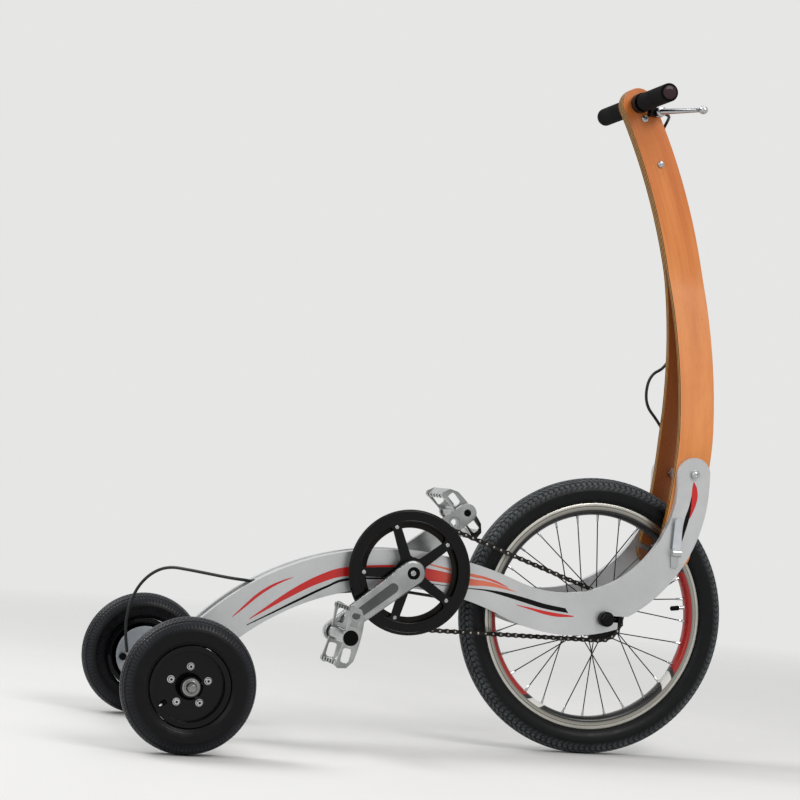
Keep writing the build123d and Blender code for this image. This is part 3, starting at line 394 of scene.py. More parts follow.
def leg_wood():
    """Varnished strip wood: grain along the leg, pale and dark layers on the cut edges, faces painted paler
    towards the bottom as light, and inner faces painted darker as shade.
    """
    made = Finish("laminated_wood", Coat_Roughness=0.3)
    away, turn = made.radius(leg_arc_x, leg_arc_z)
    _, y, z = made.axes()
    along = made.times(turn, radians(leg_arc_r) * MM)
    across = made.times(away, MM)
    straight = made.node("ShaderNodeCombineXYZ", {0: across, 1: made.times(y, MM), 2: along}).outputs[0]
    broad = made.noise(1.0, 4.0, made.stretch((60.0, 30.0, 2.2), straight), 0.55)
    fine = made.noise(1.0, 5.0, made.stretch((700.0, 300.0, 9.0), straight), 0.6)
    pores = made.noise(1.0, 2.0, made.stretch((1500.0, 900.0, 40.0), straight), 0.7)
    rings = made.math("PINGPONG", made.math("FRACT", made.times(broad, 7.0)), 0.5)
    browns = ((0.28, (200, 110, 52)), (0.5, (216, 128, 64)), (0.74, (230, 146, 80)))
    face = made.ramp(broad, [(at, tone(*brown)) for at, brown in browns])
    face = made.mix(made.times(rings, 0.4), face, tone(194, 104, 50))
    face = made.over(face, fine, 0.45, 0.75, 0.4, (164, 78, 34))
    face = made.over(face, pores, 0.62, 0.72, 0.4, (112, 50, 20))
    # Painted light: the faces grow paler towards the bottom, a lit patch under a shaded top.
    face = made.over(face, z, 1000.0, 560.0, 0.35, (240, 166, 100))
    mid = made.steps(z, *leg_splay, leg_low_y, leg_top_y)
    layer = made.steps(made.math("SUBTRACT", made.size(y), mid), -leg_t / 2, leg_t / 2)
    pale, dark = tone(204, 150, 66), tone(58, 26, 10)
    bands = made.ramp(layer, [
        (0.00, pale), (0.07, pale), (0.10, dark), (0.40, dark), (0.43, pale), (0.57, pale),
        (0.60, dark), (0.90, dark), (0.93, pale), (1.00, pale),
    ])
    facing = made.node("ShaderNodeTexCoord").outputs["Normal"]
    normal = made.node("ShaderNodeSeparateXYZ", {"Vector": facing}).outputs[1]
    # Painted shade: faces that look inwards, towards the other leg, are darkened as if in shadow.
    face = made.over(face, made.times(normal, made.math("SIGN", y)), 0.3, -0.3, 0.72, (104, 44, 16))
    on_face = made.steps(made.size(normal), 0.55, 0.75)
    made.colour(made.mix(on_face, bands, face))
    made.put("Coat Weight", made.steps(on_face, 0.0, 1.0, 0.05, 0.3))
    made.put("Specular IOR Level", made.steps(on_face, 0.0, 1.0, 0.06, 0.25))
    made.rough(0.24, 0.36, 30.0)
    return made.relief(made.plus(fine, pores, 0.6), 0.05)


def rubber(name, base, top_dust_sheen, shine, centre_x, centre_z, crown):
    """Tyre rubber: paler tread tops, partly worn dust and partly a painted sheen, painted shade in the tread's
    cuts, and a darker side wall.
    """
    made = Finish(name, Specular_IOR_Level=0.16)
    away, _ = made.radius(centre_x, centre_z)
    # Paler tread tops: partly worn dust, partly a painted sheen.
    dust_and_sheen = made.noise(35.0, 6.0, None, 0.65)
    on_tread = made.steps(away, crown - 19.0, crown - 10.0)
    share = made.times(on_tread, made.steps(dust_and_sheen, 0.35, 0.65, 0.5, 1.0))
    wall = made.cloud(60.0, 4.0, [v - 3 for v in base], [v + 3 for v in base])
    cut = made.node("ShaderNodeAttribute", attribute_name="cut").outputs["Fac"]
    # Painted shade: the tread's cuts are darkened by their depth.
    made.colour(made.over(made.mix(share, wall, tone(*top_dust_sheen)), cut, 0.15, 0.75, 0.92, (5, 5, 6)))
    made.rough(*shine, 90.0)
    return made.relief(made.plus(made.noise(900.0, 3.0), made.noise(120.0, 3.0), 0.4), 0.10)


# Front rim: where its brake track starts, the groove in it, and the arcs painted below it, as a middle and
# a half in degrees, which lean with the radius
track_low = 172.5
track_groove = 5.5
arc_lean = 0.35
band_arcs = ((0.0, 29.0), (206.0, 26.0))
flash_arcs = ((-36.0, 4.0), (239.5, 4.0))


def rim_alloy():
    """Turned bright track outside, black band inside with red arcs and short white ones."""
    made = Finish("rim_alloy")
    away, turn = made.radius(front_x, front_z)
    bright = made.over(tone(120, 118, 110), away, track_low, track_low + 9.0, 1.0, (196, 194, 186))
    bright = made.over(bright, made.noise(30.0, 4.0), 0.35, 0.7, 0.35, (146, 144, 136))
    groove = made.size(made.math("SUBTRACT", away, track_low + track_groove))
    bright = made.over(bright, groove, 0.8, 0.3, 0.7, (60, 58, 52))
    band = made.cloud(18.0, 3.0, (15, 15, 17), (26, 26, 29))
    lean = made.plus(turn, away, arc_lean)
    shift = (track_low - 4.0) * arc_lean
    for arcs, colour in ((band_arcs, (158, 24, 18)), (flash_arcs, (226, 224, 220))):
        for centre, half in arcs:
            start = made.math("SUBTRACT", lean, centre + shift + 180.0)
            turned = made.size(made.math("SUBTRACT", made.math("WRAP", start, 0.0, 360.0), 180.0))
            band = made.over(band, turned, half + 0.4, half - 0.4, 1.0, colour)
    on_track = made.steps(away, track_low - 0.3, track_low + 0.3)
    made.colour(made.mix(on_track, band, bright))
    made.put("Metallic", on_track)
    made.rough(0.24, 0.34)
    return made.relief(made.noise(500.0, 2.0), 0.02)


def gloss_black(name="gloss_black", rough=(0.2, 0.28), base=(4, 4, 5), coat=0.26):
    """Glossy black paint with faint scuffs."""
    made = Finish(name, Coat_Weight=coat, Coat_Roughness=0.04, Specular_IOR_Level=0.06)
    scuff = made.noise(1.0, 6.0, made.stretch((90.0, 90.0, 420.0)), 0.7)
    made.colour(made.over(tone(*base), scuff, 0.66, 0.82, 0.3, (46, 46, 48)))
    made.rough(*rough)
    return made.relief(made.noise(260.0, 2.0), 0.03)


def foam():
    """Soft black sleeve with open pores."""
    made = Finish("grip_foam", Sheen_Weight=0.02, Sheen_Roughness=0.5, Specular_IOR_Level=0.05)
    cells = made.node("ShaderNodeTexVoronoi", {"Vector": made.place, "Scale": 950.0}).outputs["Distance"]
    made.colour(made.cloud(160.0, 5.0, (7, 6, 6), (16, 14, 14)))
    made.rough(0.82, 0.95)
    return made.relief(made.plus(cells, made.noise(300.0, 3.0)), 0.22)


def stripe_paint(name, first, second=None, span=None, coat=0.4, specular=0.4):
    """Printed stripe: one tone, or a fade along X between two places."""
    made = Finish(name, Coat_Weight=coat, Coat_Roughness=0.16, Specular_IOR_Level=specular)
    base = tone(*first)
    if second:
        base = made.mix(made.steps(made.axes()[0], *span), base, tone(*second))
    made.colour(made.over(base, made.noise(240.0, 6.0, None, 0.7), 0.68, 0.78, 0.2, (150, 140, 138)))
    made.rough(0.28, 0.38)
    return made.relief(made.noise(220.0, 2.0), 0.03)


def cable_cover():
    """Black cable sleeve, its black tinted green as a painted reflection."""
    made = Finish("cable_cover", Coat_Weight=0.1, Coat_Roughness=0.2, Specular_IOR_Level=0.3)
    # Painted reflection: a green tint in the black.
    made.colour(made.cloud(80.0, 3.0, (10, 14, 13), (19, 25, 24)))
    made.rough(0.34, 0.46)
    return made.relief(made.noise(700.0, 2.0), 0.03)


silver = frame_paint()
wood = leg_wood()
# The tread-top tones given here are partly dust and partly a painted sheen.
tyre_front = rubber("tyre_rubber_front", (11, 12, 14), (78, 83, 86), (0.3, 0.44), front_x, front_z, front_r)
tyre_rear = rubber("tyre_rubber_rear", (7, 7, 10), (36, 38, 44), (0.24, 0.36), rear_x, rear_z, rear_r)
rim_paint = rim_alloy()
black = gloss_black()
satin_black = gloss_black("satin_black", (0.34, 0.46), (10, 10, 11), 0.1)
cap_black = gloss_black("cap_black", (0.45, 0.6), (5, 5, 5), 0.0)
plug = gloss_black("grip_plug", (0.45, 0.6), (52, 34, 38))
alloy = metal("satin_alloy", (150, 153, 152), (190, 193, 192), (0.2, 0.3), 350.0, 0.2)
arm_alloy = crank_alloy()
pedal_alloy = metal("pedal_alloy", (122, 125, 124), (176, 179, 178), (0.12, 0.22), 350.0, 0.2)
bright = metal("bright_steel", (150, 152, 154), (196, 198, 199), (0.12, 0.22), 500.0)
lever_steel = metal("lever_steel", (196, 200, 206), (226, 229, 233), (0.14, 0.24), 500.0)
nut_steel = metal("nut_steel", (112, 113, 112), (158, 159, 156), (0.14, 0.24), 500.0)
spoke_steel = metal("dark_spoke_steel", (30, 32, 32), (54, 56, 56), (0.26, 0.36), 700.0)
chain_steel = metal("chain_steel", (20, 19, 18), (48, 46, 43), (0.3, 0.48), 500.0, 0.1)
cog_steel = metal("dark_cog_steel", (14, 13, 12), (34, 32, 29), (0.3, 0.44), 500.0, 0.1)
pin_steel = metal("chain_pin_steel", (108, 106, 102), (156, 154, 148), (0.24, 0.36), 500.0)
brake_paint = metal("brake_grey", (138, 144, 150), (166, 171, 176), (0.36, 0.5), 300.0, 0.1, 0.45, 0.04)
bush = metal("bush_rubber", (26, 26, 27), (40, 40, 41), (0.6, 0.75), 300.0, 0.0, 0.0, 0.05)
grip_foam = foam()
cover = cable_cover()


# CAD nodes that stay: softened edges and a finish

bevel_from = 32.0
flat_within = 0.4
weld_within = 2e-6


def dress(node, finish, edge):
    """Round a node's sharp edges by a modifier and give it a finish."""
    made = nodes[node]
    mesh = made.data
    mesh.materials.clear()
    mesh.materials.append(finish.material)
    if "custom_normal" in mesh.attributes:
        mesh.attributes.remove(mesh.attributes["custom_normal"])
    smooth(mesh)
    made.modifiers.new("weld", "WELD").merge_threshold = weld_within
    flat = made.modifiers.new("flat", "DECIMATE")
    flat.decimate_type = "DISSOLVE"
    flat.angle_limit = radians(flat_within)
    bevel = made.modifiers.new("edge", "BEVEL")
    bevel.width = edge * MM
    bevel.segments = 2
    bevel.limit_method = "ANGLE"
    bevel.angle_limit = radians(bevel_from)
    bevel.use_clamp_overlap = True
    made.modifiers.new("shade", "WEIGHTED_NORMAL").keep_sharp = False


finishes = [
    # finish, edge radius, nodes
    (silver, 0.9, ["side_plate_right", "side_plate_left", "kingpin_seat"]),
    (silver, 0.4, ["frame_web"]),
    (wood, 0.8, ["leg_right", "leg_left"]),
    (satin_black, 0.4, ["crank_shell", "truck_hanger", "axle_nuts", "handle_bar", "brake_arm"]),
    (satin_black, 0.3, ["chain_tugs", "brake_clamp"]),
    (black, 0.8, ["chain_guard"]),
    (black, 0.6, ["rear_rim_right", "rear_rim_left"]),
    (black, 0.5, ["rear_hub_right", "rear_hub_left"]),
    (arm_alloy, 0.8, ["crank_arm_right", "crank_arm_left"]),
    (pedal_alloy, 0.5, ["pedal_right", "pedal_left"]),
    (bush, 0.6, ["kingpin_bushing"]),
    (bright, 0.3, ["kingpin", "front_axle", "crank_spindle", "rear_axle"]),
    (bright, 0.3, ["pedal_axle_right", "pedal_axle_left", "leg_bolts", "pivot_bolts"]),
    (bright, 0.6, ["clamp_right", "clamp_left"]),
    (lever_steel, 0.6, ["clamp_lever_right", "clamp_lever_left"]),
    (cog_steel, 0.3, ["chain_ring", "front_cog"]),
    (brake_paint, 0.5, ["brake_plate"]),
    (grip_foam, 0.5, ["grip_right", "grip_left"]),
]
for finish, edge, names in finishes:
    for name in names:
        dress(name, finish, edge)


# Tyres: a turned section with the tread cut into it

tread_period = 6
front_steps = 840
rear_steps = 600

# Bands of each tread from its middle line outwards, with offset and lean counted in steps:
# outer edge, share of the period that is cut, offset, depth, lean
front_bands = (
    (2.4, 0.17, 0.0, 0.77, 1.0),
    (7.6, 0.30, 0.0, 1.1, 0.9),
    (9.2, 1.00, 0.0, 1.2, 0.0),
    (15.2, 0.30, 3.0, 1.1, -0.9),
    (16.8, 1.00, 0.0, 0.96, 0.0),
    (22.4, 0.30, 0.0, 0.99, 0.0),
    (23.6, 1.00, 0.0, 0.72, 0.0),
    (30.4, 0.30, 2.0, 0.77, 0.5),
)
rear_bands = (
    (4.2, 0.00, 0.0, 0.0, 0.0),
    (5.6, 1.00, 0.0, 1.3, 0.0),
    (11.4, 0.16, 0.0, 0.9, 0.35),
    (12.8, 1.00, 0.0, 1.3, 0.0),
    (17.6, 0.16, 2.0, 1.0, -0.25),
    (18.6, 1.00, 0.0, 1.3, 0.0),
    (23.6, 0.16, 2.0, 1.1, 0.0),
)


def cut_depth(bands, u, steps):
    """Depth of the tread round the tyre, at a distance u from its middle line."""
    for edge, share, offset, depth, lean in bands:
        if abs(u) < edge:
            phase = np.mod(np.arange(steps) + offset + lean * u, tread_period) / tread_period
            return np.where(phase < share, depth, 0.0)
    return np.zeros(steps)


def tyre(name, body, node, finish, centre, section):
    """A tyre from (radius, y, outward r, outward y, depth round the tyre) rows."""
    rows = []
    for r, across, out_r, out_y, cut in section:
        angle = 2 * np.pi * np.arange(len(cut)) / len(cut)
        radius = r - out_r * cut
        x, z = centre[0] + radius * np.cos(angle), centre[2] + radius * np.sin(angle)
        rows.append(np.stack([x, centre[1] + across - out_y * cut, z], 1).tolist())
    tread = Shape().grid(rows, wrap_v=True).piece(name, body, finish, "tyre", [node], sharp=180.0)
    cuts = np.concatenate([row[-1] for row in section])
    tread.data.attributes.new("cut", "FLOAT", "POINT").data.foreach_set("value", cuts)


# Front tyre: a round section up to the bead, with three raised lines on its walls (distance, height)
front_section_r = 22.5
front_bead_deg = 141.0
fine_to = 31.2
fine_step = 0.8
wall_rows = 17
wall_lines = ((33.4, 0.4), (36.4, 0.3), (46.0, 0.5))
wall_line_half = 0.55


def front_section():
    """Rows of the front tyre's section, fine across the tread."""
    fine = np.arange(-fine_to, fine_to + 0.01, fine_step)
    wall = np.linspace(fine_to + fine_step, radians(front_bead_deg) * front_section_r, wall_rows)
    core_r = front_r - front_section_r
    rows = []
    for u in np.concatenate([-wall[::-1], fine, wall]):
        turn = u / front_section_r
        rise = sum(height * np.exp(-((abs(u) - line) / wall_line_half) ** 2) for line, height in wall_lines)
        out = front_section_r + rise
        cut = cut_depth(front_bands, u, front_steps)
        rows.append((core_r + out * cos(turn), out * sin(turn), cos(turn), sin(turn), cut))
    for bead in (front_section_r * 0.46, -front_section_r * 0.46):
        rows.append((core_r - front_section_r * 0.86, bead, 0, 0, np.zeros(front_steps)))
    return rows


tyre("front_tyre_tread", "front_wheel", "front_tyre", tyre_front, (front_x, 0, front_z), front_section())

# Rear tyres: half a section from the crown to the bead, with two raised lines on its wall (radius, height)
rear_half = 25.0
rear_bead_r = 59.8
rear_outline = [
    (rear_r, 0.0), (rear_r - 1.6, 9.0), (rear_r - 4.2, 15.5), (rear_r - 9.0, 20.5), (rear_r - 16.0, 24.2),
    (rear_r - 24.0, rear_half), (rear_r - 32.0, 23.4), (rear_bead_r + 1.5, 19.5), (rear_bead_r, 17.2),
]
rear_rows = 44
rear_crown = 17.0
rear_lines = ((rear_r - 20.0, 0.4), (rear_r - 34.0, 0.5))
rear_line_half = 0.7


def smooth_line(points, count):
    """Even points along a smooth line through a few points (Catmull-Rom)."""
    p = np.array([points[0], *points, points[-1]], dtype=float)
    dense = []
    for a, b, c, d in zip(p, p[1:], p[2:], p[3:]):
        for t in np.linspace(0, 1, 24, endpoint=False):
            square, cube = (2 * a - 5 * b + 4 * c - d) * t * t, (3 * b - a - 3 * c + d) * t**3
            dense.append(0.5 * (2 * b + (c - a) * t + square + cube))
    dense = np.array([*dense, p[-2]])
    length = np.concatenate([[0], np.cumsum(np.linalg.norm(np.diff(dense, axis=0), axis=1))])
    want = np.linspace(0, length[-1], count)
    return np.stack([np.interp(want, length, dense[:, k]) for k in range(dense.shape[1])], 1)


def rear_section():
    """Rows of the rear tyre from one bead over the crown to the other."""
    half = smooth_line(rear_outline, rear_rows)
    line = [(r, -y) for r, y in half[:0:-1]] + [(r, y) for r, y in half]
    rows = []
    for i, (r, y) in enumerate(line):
        ahead = np.array(line[min(i + 1, len(line) - 1)]) - np.array(line[max(i - 1, 0)])
        ahead /= np.linalg.norm(ahead)
        out = (ahead[1], -ahead[0])
        rise = sum(height * np.exp(-((r - ring) / rear_line_half) ** 2) for ring, height in rear_lines)
        rise *= abs(y) > 15
        cut = cut_depth(rear_bands if r > rear_r - rear_crown else (), y, rear_steps)
        rows.append((r + out[0] * rise, y + out[1] * rise, out[0], out[1], cut))
    return rows


for side, name in sides:
    centre = (rear_x, side * half_track, rear_z)
    body = f"rear_wheel_{name}"
    tyre(f"rear_tyre_tread_{name}", body, f"rear_tyre_{name}", tyre_rear, centre, rear_section())


# Front rim, spokes, nipples and hub

rim_half = 13.0
rim_top = 184.0
rim_bed = 176.0
rim_low = 164.0
spokes_a_side = 14
spoke_r = 0.95
flange_r = 30.0
flange_y = 29.0
hub_half = 52.0


def front_rim():
    """Double-wall rim with rolled edges and a shallow groove round the brake track."""
    half = [
        (rim_low, 5.0), (rim_low + 1.2, 7.6), (rim_low + 4.0, rim_half - 1.6),
        (rim_low + 6.4, rim_half - 0.2),
        (track_low, rim_half), (track_low + 5.4, rim_half), (track_low + 5.8, rim_half - 0.35),
        (track_low + 6.2, rim_half - 0.35), (track_low + 6.6, rim_half), (rim_top - 0.8, rim_half),
        (rim_top - 0.1, rim_half - 0.4), (rim_top - 0.1, rim_half - 1.1), (rim_top - 0.8, rim_half - 1.5),
        (rim_bed, rim_half - 1.5), (rim_bed, 0.0),
    ]
    profile = [(r, -y) for r, y in half[::-1]] + [(rim_low, 0.0)] + half[:-1]
    made = Shape().lathe((front_x, 0, front_z), profile, 240)
    made.piece("front_rim_turned", "front_wheel", rim_paint, "rim_alloy", ["front_rim"], 30.0)


def front_hub():
    """Turned alloy hub with its two drilled flanges, and a seat for the cog on the right."""
    seat = [
        (5.05, -hub_half), (9.0, -hub_half), (10.0, 1 - hub_half), (10.0, -41.4), (16.5, -41.0),
        (17.0, -40.4), (17.0, -33.0), (19.0, -31.4),
    ]
    flange = [
        (29.4, -31.0), (flange_r, -30.4), (flange_r, -27.6), (29.4, -27.0), (20.0, -26.6), (14.5, -22.0),
        (13.5, -12.0),
    ]
    left = [(r, -y) for r, y in flange[::-1]]
    end = [(19.0, 31.4), (14.0, 36.0), (10.5, 44.0), (10.0, hub_half - 1), (9.0, hub_half), (5.05, hub_half)]
    made = Shape().lathe((front_x, 0, front_z), seat + flange + left + end, 72)
    made.piece("front_hub_turned", "front_wheel", alloy, "alloy", ["front_hub"], 30.0)


def lacing():
    """Crossed spokes with bent heads, and their nipples at the rim."""
    wires, nipples = Shape(), Shape()
    step = 360 / spokes_a_side
    for side, _ in sides:
        for k in range(spokes_a_side):
            at = step * k + (side + 1) * step / 4
            out = 1 if k % 2 else -1
            hx, hz = polar(front_x, front_z, flange_r - 4.0, at)
            rx, rz = polar(front_x, front_z, rim_low - 0.3, at + 2.0 * out * step)
            head = Vector((hx, side * (flange_y + 2.6 * out), hz))
            foot = Vector((rx, side * 2.5, rz))
            run = (foot - head).normalized()
            inward = Vector((0, -side * out, 0))
            start = head + inward * 5.2
            elbow = [start, head + inward * 1.2, head + run * 0.4 + inward * 0.3, head + run * 1.6]
            wires.tube(elbow + [foot], spoke_r, 8)
            wires.tube([start - inward * 0.6, start, start + inward * 0.7], [1.9, 1.9, 1.2], 8)
            back = foot - run * 11.0
            ring = [back, back + run * 0.6, foot - run * 3.5, foot - run * 3.4, foot + run * 1.0]
            nipples.tube(ring, [1.4, 1.75, 1.9, 2.3, 2.4], 8)
    wires.piece("front_spokes", "front_wheel", spoke_steel, "steel")
    nipples.piece("spoke_nipples", "front_wheel", bright, "steel")


def tube_valve(name, body, at_x, at_z, base_r, deg, y, length, radius):
    """Valve stem with its cap, pointing to the axle."""
    ends = (length * 0.45, length / 2, length, length + 1.2)
    parts = (
        # piece, distances from its root, shares of its radius, finish, slot
        ("stem", (0, 2, length), (1.5, 1, 1), bright, "steel"),
        ("cap", ends, (1.15, 1.35, 1.3, 0.8), cap_black, "black_metal"),
    )
    for part, distances, shares, finish, slot in parts:
        places = [polar(at_x, at_z, base_r - d, deg) for d in distances]
        made = Shape().tube([(px, y, pz) for px, pz in places], [radius * share for share in shares], 12)
        made.piece(f"{name}_{part}", body, finish, slot)


front_rim()
front_hub()
lacing()
tube_valve("front_valve", "front_wheel", front_x, front_z, rim_low + 1.0, 8.0, 0.0, 24.0, 3.0)


# Chain: round-ended links on the loop round the ring and the cog

chain_pitch = 12.7
ring_teeth = 44
cog_teeth = 18
ring_r = chain_pitch / (2 * sin(pi / ring_teeth))
cog_r = chain_pitch / (2 * sin(pi / cog_teeth))
link_end_r = 4.1
link_waist = 2.7
link_t = 0.95
link_gaps = (2.75, 1.75)
roller = [(2.0, -1.7), (3.9, -1.7), (3.9, 1.7), (2.0, 1.7)]
pin = [(0.1, -4.1), (1.3, -4.1), (1.75, -3.8), (1.75, 3.8), (1.3, 4.1), (0.1, 4.1)]


def chain_path():
    """A function from the distance along the chain to a point, and the loop's length."""
    span = Vector((front_x - crank_x, front_z - crank_z))
    heading = atan2(span.y, span.x)
    turn = asin((ring_r - cog_r) / span.length)
    run = sqrt(span.length**2 - (ring_r - cog_r) ** 2)
    big, small = (pi + 2 * turn) * ring_r, (pi - 2 * turn) * cog_r
    total = 2 * run + big + small
    top, low = heading + pi / 2 - turn, heading - pi / 2 + turn
    legs = (
        # length, centre, radius, angle at its start, curved
        (big, (crank_x, crank_z), ring_r, top, True),
        (run, (crank_x, crank_z), ring_r, low, False),
        (small, (front_x, front_z), cog_r, low, True),
        (total, (front_x, front_z), cog_r, top, False),
    )

    def at(s):
        s = s % total
        for length, centre, r, start, curved in legs:
            if s < length:
                break
            s -= length
        if curved:
            return polar(*centre, r, degrees(start + s / r))
        x, z = polar(*centre, r, degrees(start))
        return x - s * sin(start), z + s * cos(start)

    return at, total


def link_outline(a, b):
    """Round ends about two pins with a narrower middle."""
    a, b = Vector(a), Vector(b)
    along = (b - a).normalized()
    side = Vector((-along.y, along.x))
    points = []
    for centre, facing in ((b, 1), (a, -1)):
        for deg in range(-70, 71, 28):
            t = radians(deg)
            points.append(centre + (along * cos(t) + side * sin(t)) * link_end_r * facing)
        points.append((a + b) / 2 + side * link_waist * facing)
    return [(p.x, p.y) for p in points]


def chain():
    """Inner and outer link plates, rollers and riveted pins."""
    at, total = chain_path()
    count = 2 * round(total / chain_pitch / 2)
    step = total / count
    links, pins = Shape(), Shape()
    for k in range(count):
        here, ahead = at(k * step), at((k + 1) * step)
        place = (here[0], -chain_line, here[1])
        for side, _ in sides:
            y0 = -chain_line + side * link_gaps[k % 2]
            links.prism(link_outline(here, ahead), y0, y0 + side * link_t)
        links.lathe(place, roller, 12)
        pins.lathe(place, pin, 10, closed=False)
    links.piece("chain_links", "frame", chain_steel, "chain_steel", ["chain"], 40.0)
    pins.piece("chain_pins", "frame", pin_steel, "chain_steel", (), 40.0)


chain()


# Crankset trim. Each cap is a list of (radius, height) from its middle or rim.

spindle_cap = [(4.6, 0.15), (5.0, 1.1), (8.6, 1.3), (9.2, 2.0), (9.7, 2.1), (9.8, 0.1)]
spindle_bolt = [(0.2, 0.9), (1.8, 0.9), (2.1, 2.2), (3.9, 2.2), (4.4, 1.7), (4.4, 0.1)]
hole_ring = [(5.8, 0.1), (6.0, 0.5), (8.4, 0.6), (8.8, 0.1)]
hole_floor = 0.8
guard_bolt = [(0.2, 0.7), (1.5, 0.7), (1.7, 1.6), (2.7, 1.7), (3.3, 1.1), (3.3, -0.3)]
pedal_cap = [(0.2, 0.9), (8.0, 0.8), (10.6, 0.5), (11.4, 0.9), (11.6, 0.1)]
pedal_cap_depth = 1.5
axle_end = [(0.2, 0.1), (2.6, 0.1), (2.9, 0.7), (5.3, 0.7), (5.7, 0.1)]


def capped(name, body, finish, slot, places, profile, facing, steps):
    """One piece of like caps at one or more places."""
    made = Shape()
    for place in places:
        made.cap(place, profile, facing, steps)
    made.piece(name, body, finish, slot)


def guard_face():
    """Y of the guard band's outer face, without its centre."""
    vertices = [v.co / MM for v in nodes["chain_guard"].data.vertices]
    return max(-v.y for v in vertices if hypot(v.x - crank_x, v.z - crank_z) > 60)


def crank_trim(side, name):
    """Caps and bolts of the spindle and the pedal, and the ring of an arm's second hole."""
    near, far = (side + 1) // 2, (1 - side) // 2
    cup = (crank_x, reach("crank_spindle", 1, near), crank_z)
    hole = polar(crank_x, crank_z, crank_len - crank_hole_back, crank_angle + 90 - 90 * side)
    floor = (hole[0], reach(f"crank_arm_{name}", 1, far) + side * hole_floor, hole[1])
    x, _, z = pedal_at[name]
    end = (x, reach(f"pedal_{name}", 1, near) - side * pedal_cap_depth, z)
    root = (x, reach(f"pedal_axle_{name}", 1, far), z)
    capped(f"spindle_cap_{name}", "crankset", cap_black, "black_metal", [cup], spindle_cap, side, 40)
    capped(f"spindle_bolt_{name}", "crankset", bright, "steel", [cup], spindle_bolt, side, 24)
    capped(f"crank_hole_ring_{name}", "crankset", bright, "steel", [floor], hole_ring, -side, 32)
    capped(f"pedal_cap_{name}", f"pedal_{name}", cap_black, "black_metal", [end], pedal_cap, side, 48)
    capped(f"pedal_axle_end_{name}", "crankset", cap_black, "black_metal", [root], axle_end, -side, 24)


def guard_trim():
    """The guard's bolts, and a rounded lip along each edge of its band."""
    face = guard_face()
    spots = [polar(crank_x, crank_z, guard_bolt_r, crank_angle + 72 * k) for k in range(5)]
    places = [(x, -face + guard_step, z) for x, z in spots]
    capped("guard_bolts", "crankset", bright, "steel", places, guard_bolt, -1, 20)
    lips = Shape()
    for lip_r, half in ((guard_inner_r + 1.7, 1.6), (guard_rim_r - 3.7, 1.9)):
        turns = [radians(t) for t in range(0, 181, 20)]
        arch = [(lip_r - half * cos(t), 0.9 * sin(t) - 0.1) for t in turns]
        lips.cap((crank_x, -face, crank_z), arch, -1, 160)
    lips.piece("guard_lips", "crankset", black, "black_metal")


for side, name in sides:
    crank_trim(side, name)
guard_trim()


# Hub, pivot and leg bolt hardware


nut_head = [(5.2, 3.0), (8.4, 3.0), (9.6, 1.8), (10.4, 0.1)]
axle_dome = [(0.2, 4.6), (3.6, 4.3), (4.6, 3.4), (5.3, 2.6), (5.4, 0.1)]
pivot_dome = [(0.2, -0.6), (1.9, -0.6), (2.3, 1.9), (3.8, 1.6), (5.2, 0.6), (5.6, -0.3)]
leg_dome = [(0.2, -0.4), (1.6, -0.4), (2.0, 1.4), (3.6, 1.2), (5.2, 0.2), (5.6, -0.6)]


def axle_trim():
    """Six-sided heads on the front nuts, with the rounded axle ends."""
    caps = Shape()
    outer = -reach("axle_nuts", 1, 0)
    for side, _ in sides:
        place = (front_x, side * outer, front_z)
        caps.cap(place, nut_head, side, 6).cap(place, axle_dome, side, 24)
    caps.piece("axle_caps", "frame", satin_black, "black_metal")


def bolt_places(node):
    """(x, z) of each bolt in a node, by grouping its vertices by height."""
    vertices = [v.co / MM for v in nodes[node].data.vertices]
    heights = [v.z for v in vertices]
    split = (min(heights) + max(heights)) / 2
    for group in ([v for v in vertices if v.z > split], [v for v in vertices if v.z <= split]):
        xs, zs = [v.x for v in group], [v.z for v in group]
        yield (min(xs) + max(xs)) / 2, (min(zs) + max(zs)) / 2


def bolt_domes():
    """Domed heads on the hinge bolts and the leg bolts."""
    hinge, legs = Shape(), Shape()
    for side, _ in sides:
        hinge.cap((pivot_x, side * pivot_head, pivot_z), pivot_dome, side, 32)
    for x, z in bolt_places("leg_bolts"):
        for side, _ in sides:
            legs.cap((x, reach("leg_bolts", 1, (side + 1) // 2), z), leg_dome, side, 28)
    hinge.piece("pivot_domes", "frame", bright, "steel")
    legs.piece("leg_bolt_domes", "handlebar", bright, "steel")


axle_trim()
bolt_domes()


# Rear wheels: bright bolts, washers, nut and valve

rear_disc_out = 6.0
rear_hub_out = 22.0
rear_bolt_circle = 28.5
rear_bolt_turn = 18.0
rear_bolt = [(0.2, 3.0), (1.7, 3.0), (1.9, 4.4), (3.9, 4.6), (4.6, 3.9), (4.7, 0.2), (5.6, 0.1)]
rear_washers = [
    (5.1, 1.0), (12.5, 1.0), (12.9, 1.4), (12.9, 2.6), (12.4, 3.0), (10.2, 3.1), (10.0, 4.6), (9.6, 4.8),
    (8.2, 4.9),
]
rear_nut = [(8.0, 4.6), (8.0, 11.0), (7.2, 12.0), (5.1, 12.2)]
rear_axle_end = [(5.0, 12.0), (5.0, 17.6), (4.2, 18.6), (0.2, 18.8)]
rear_valve_turn = 216.0


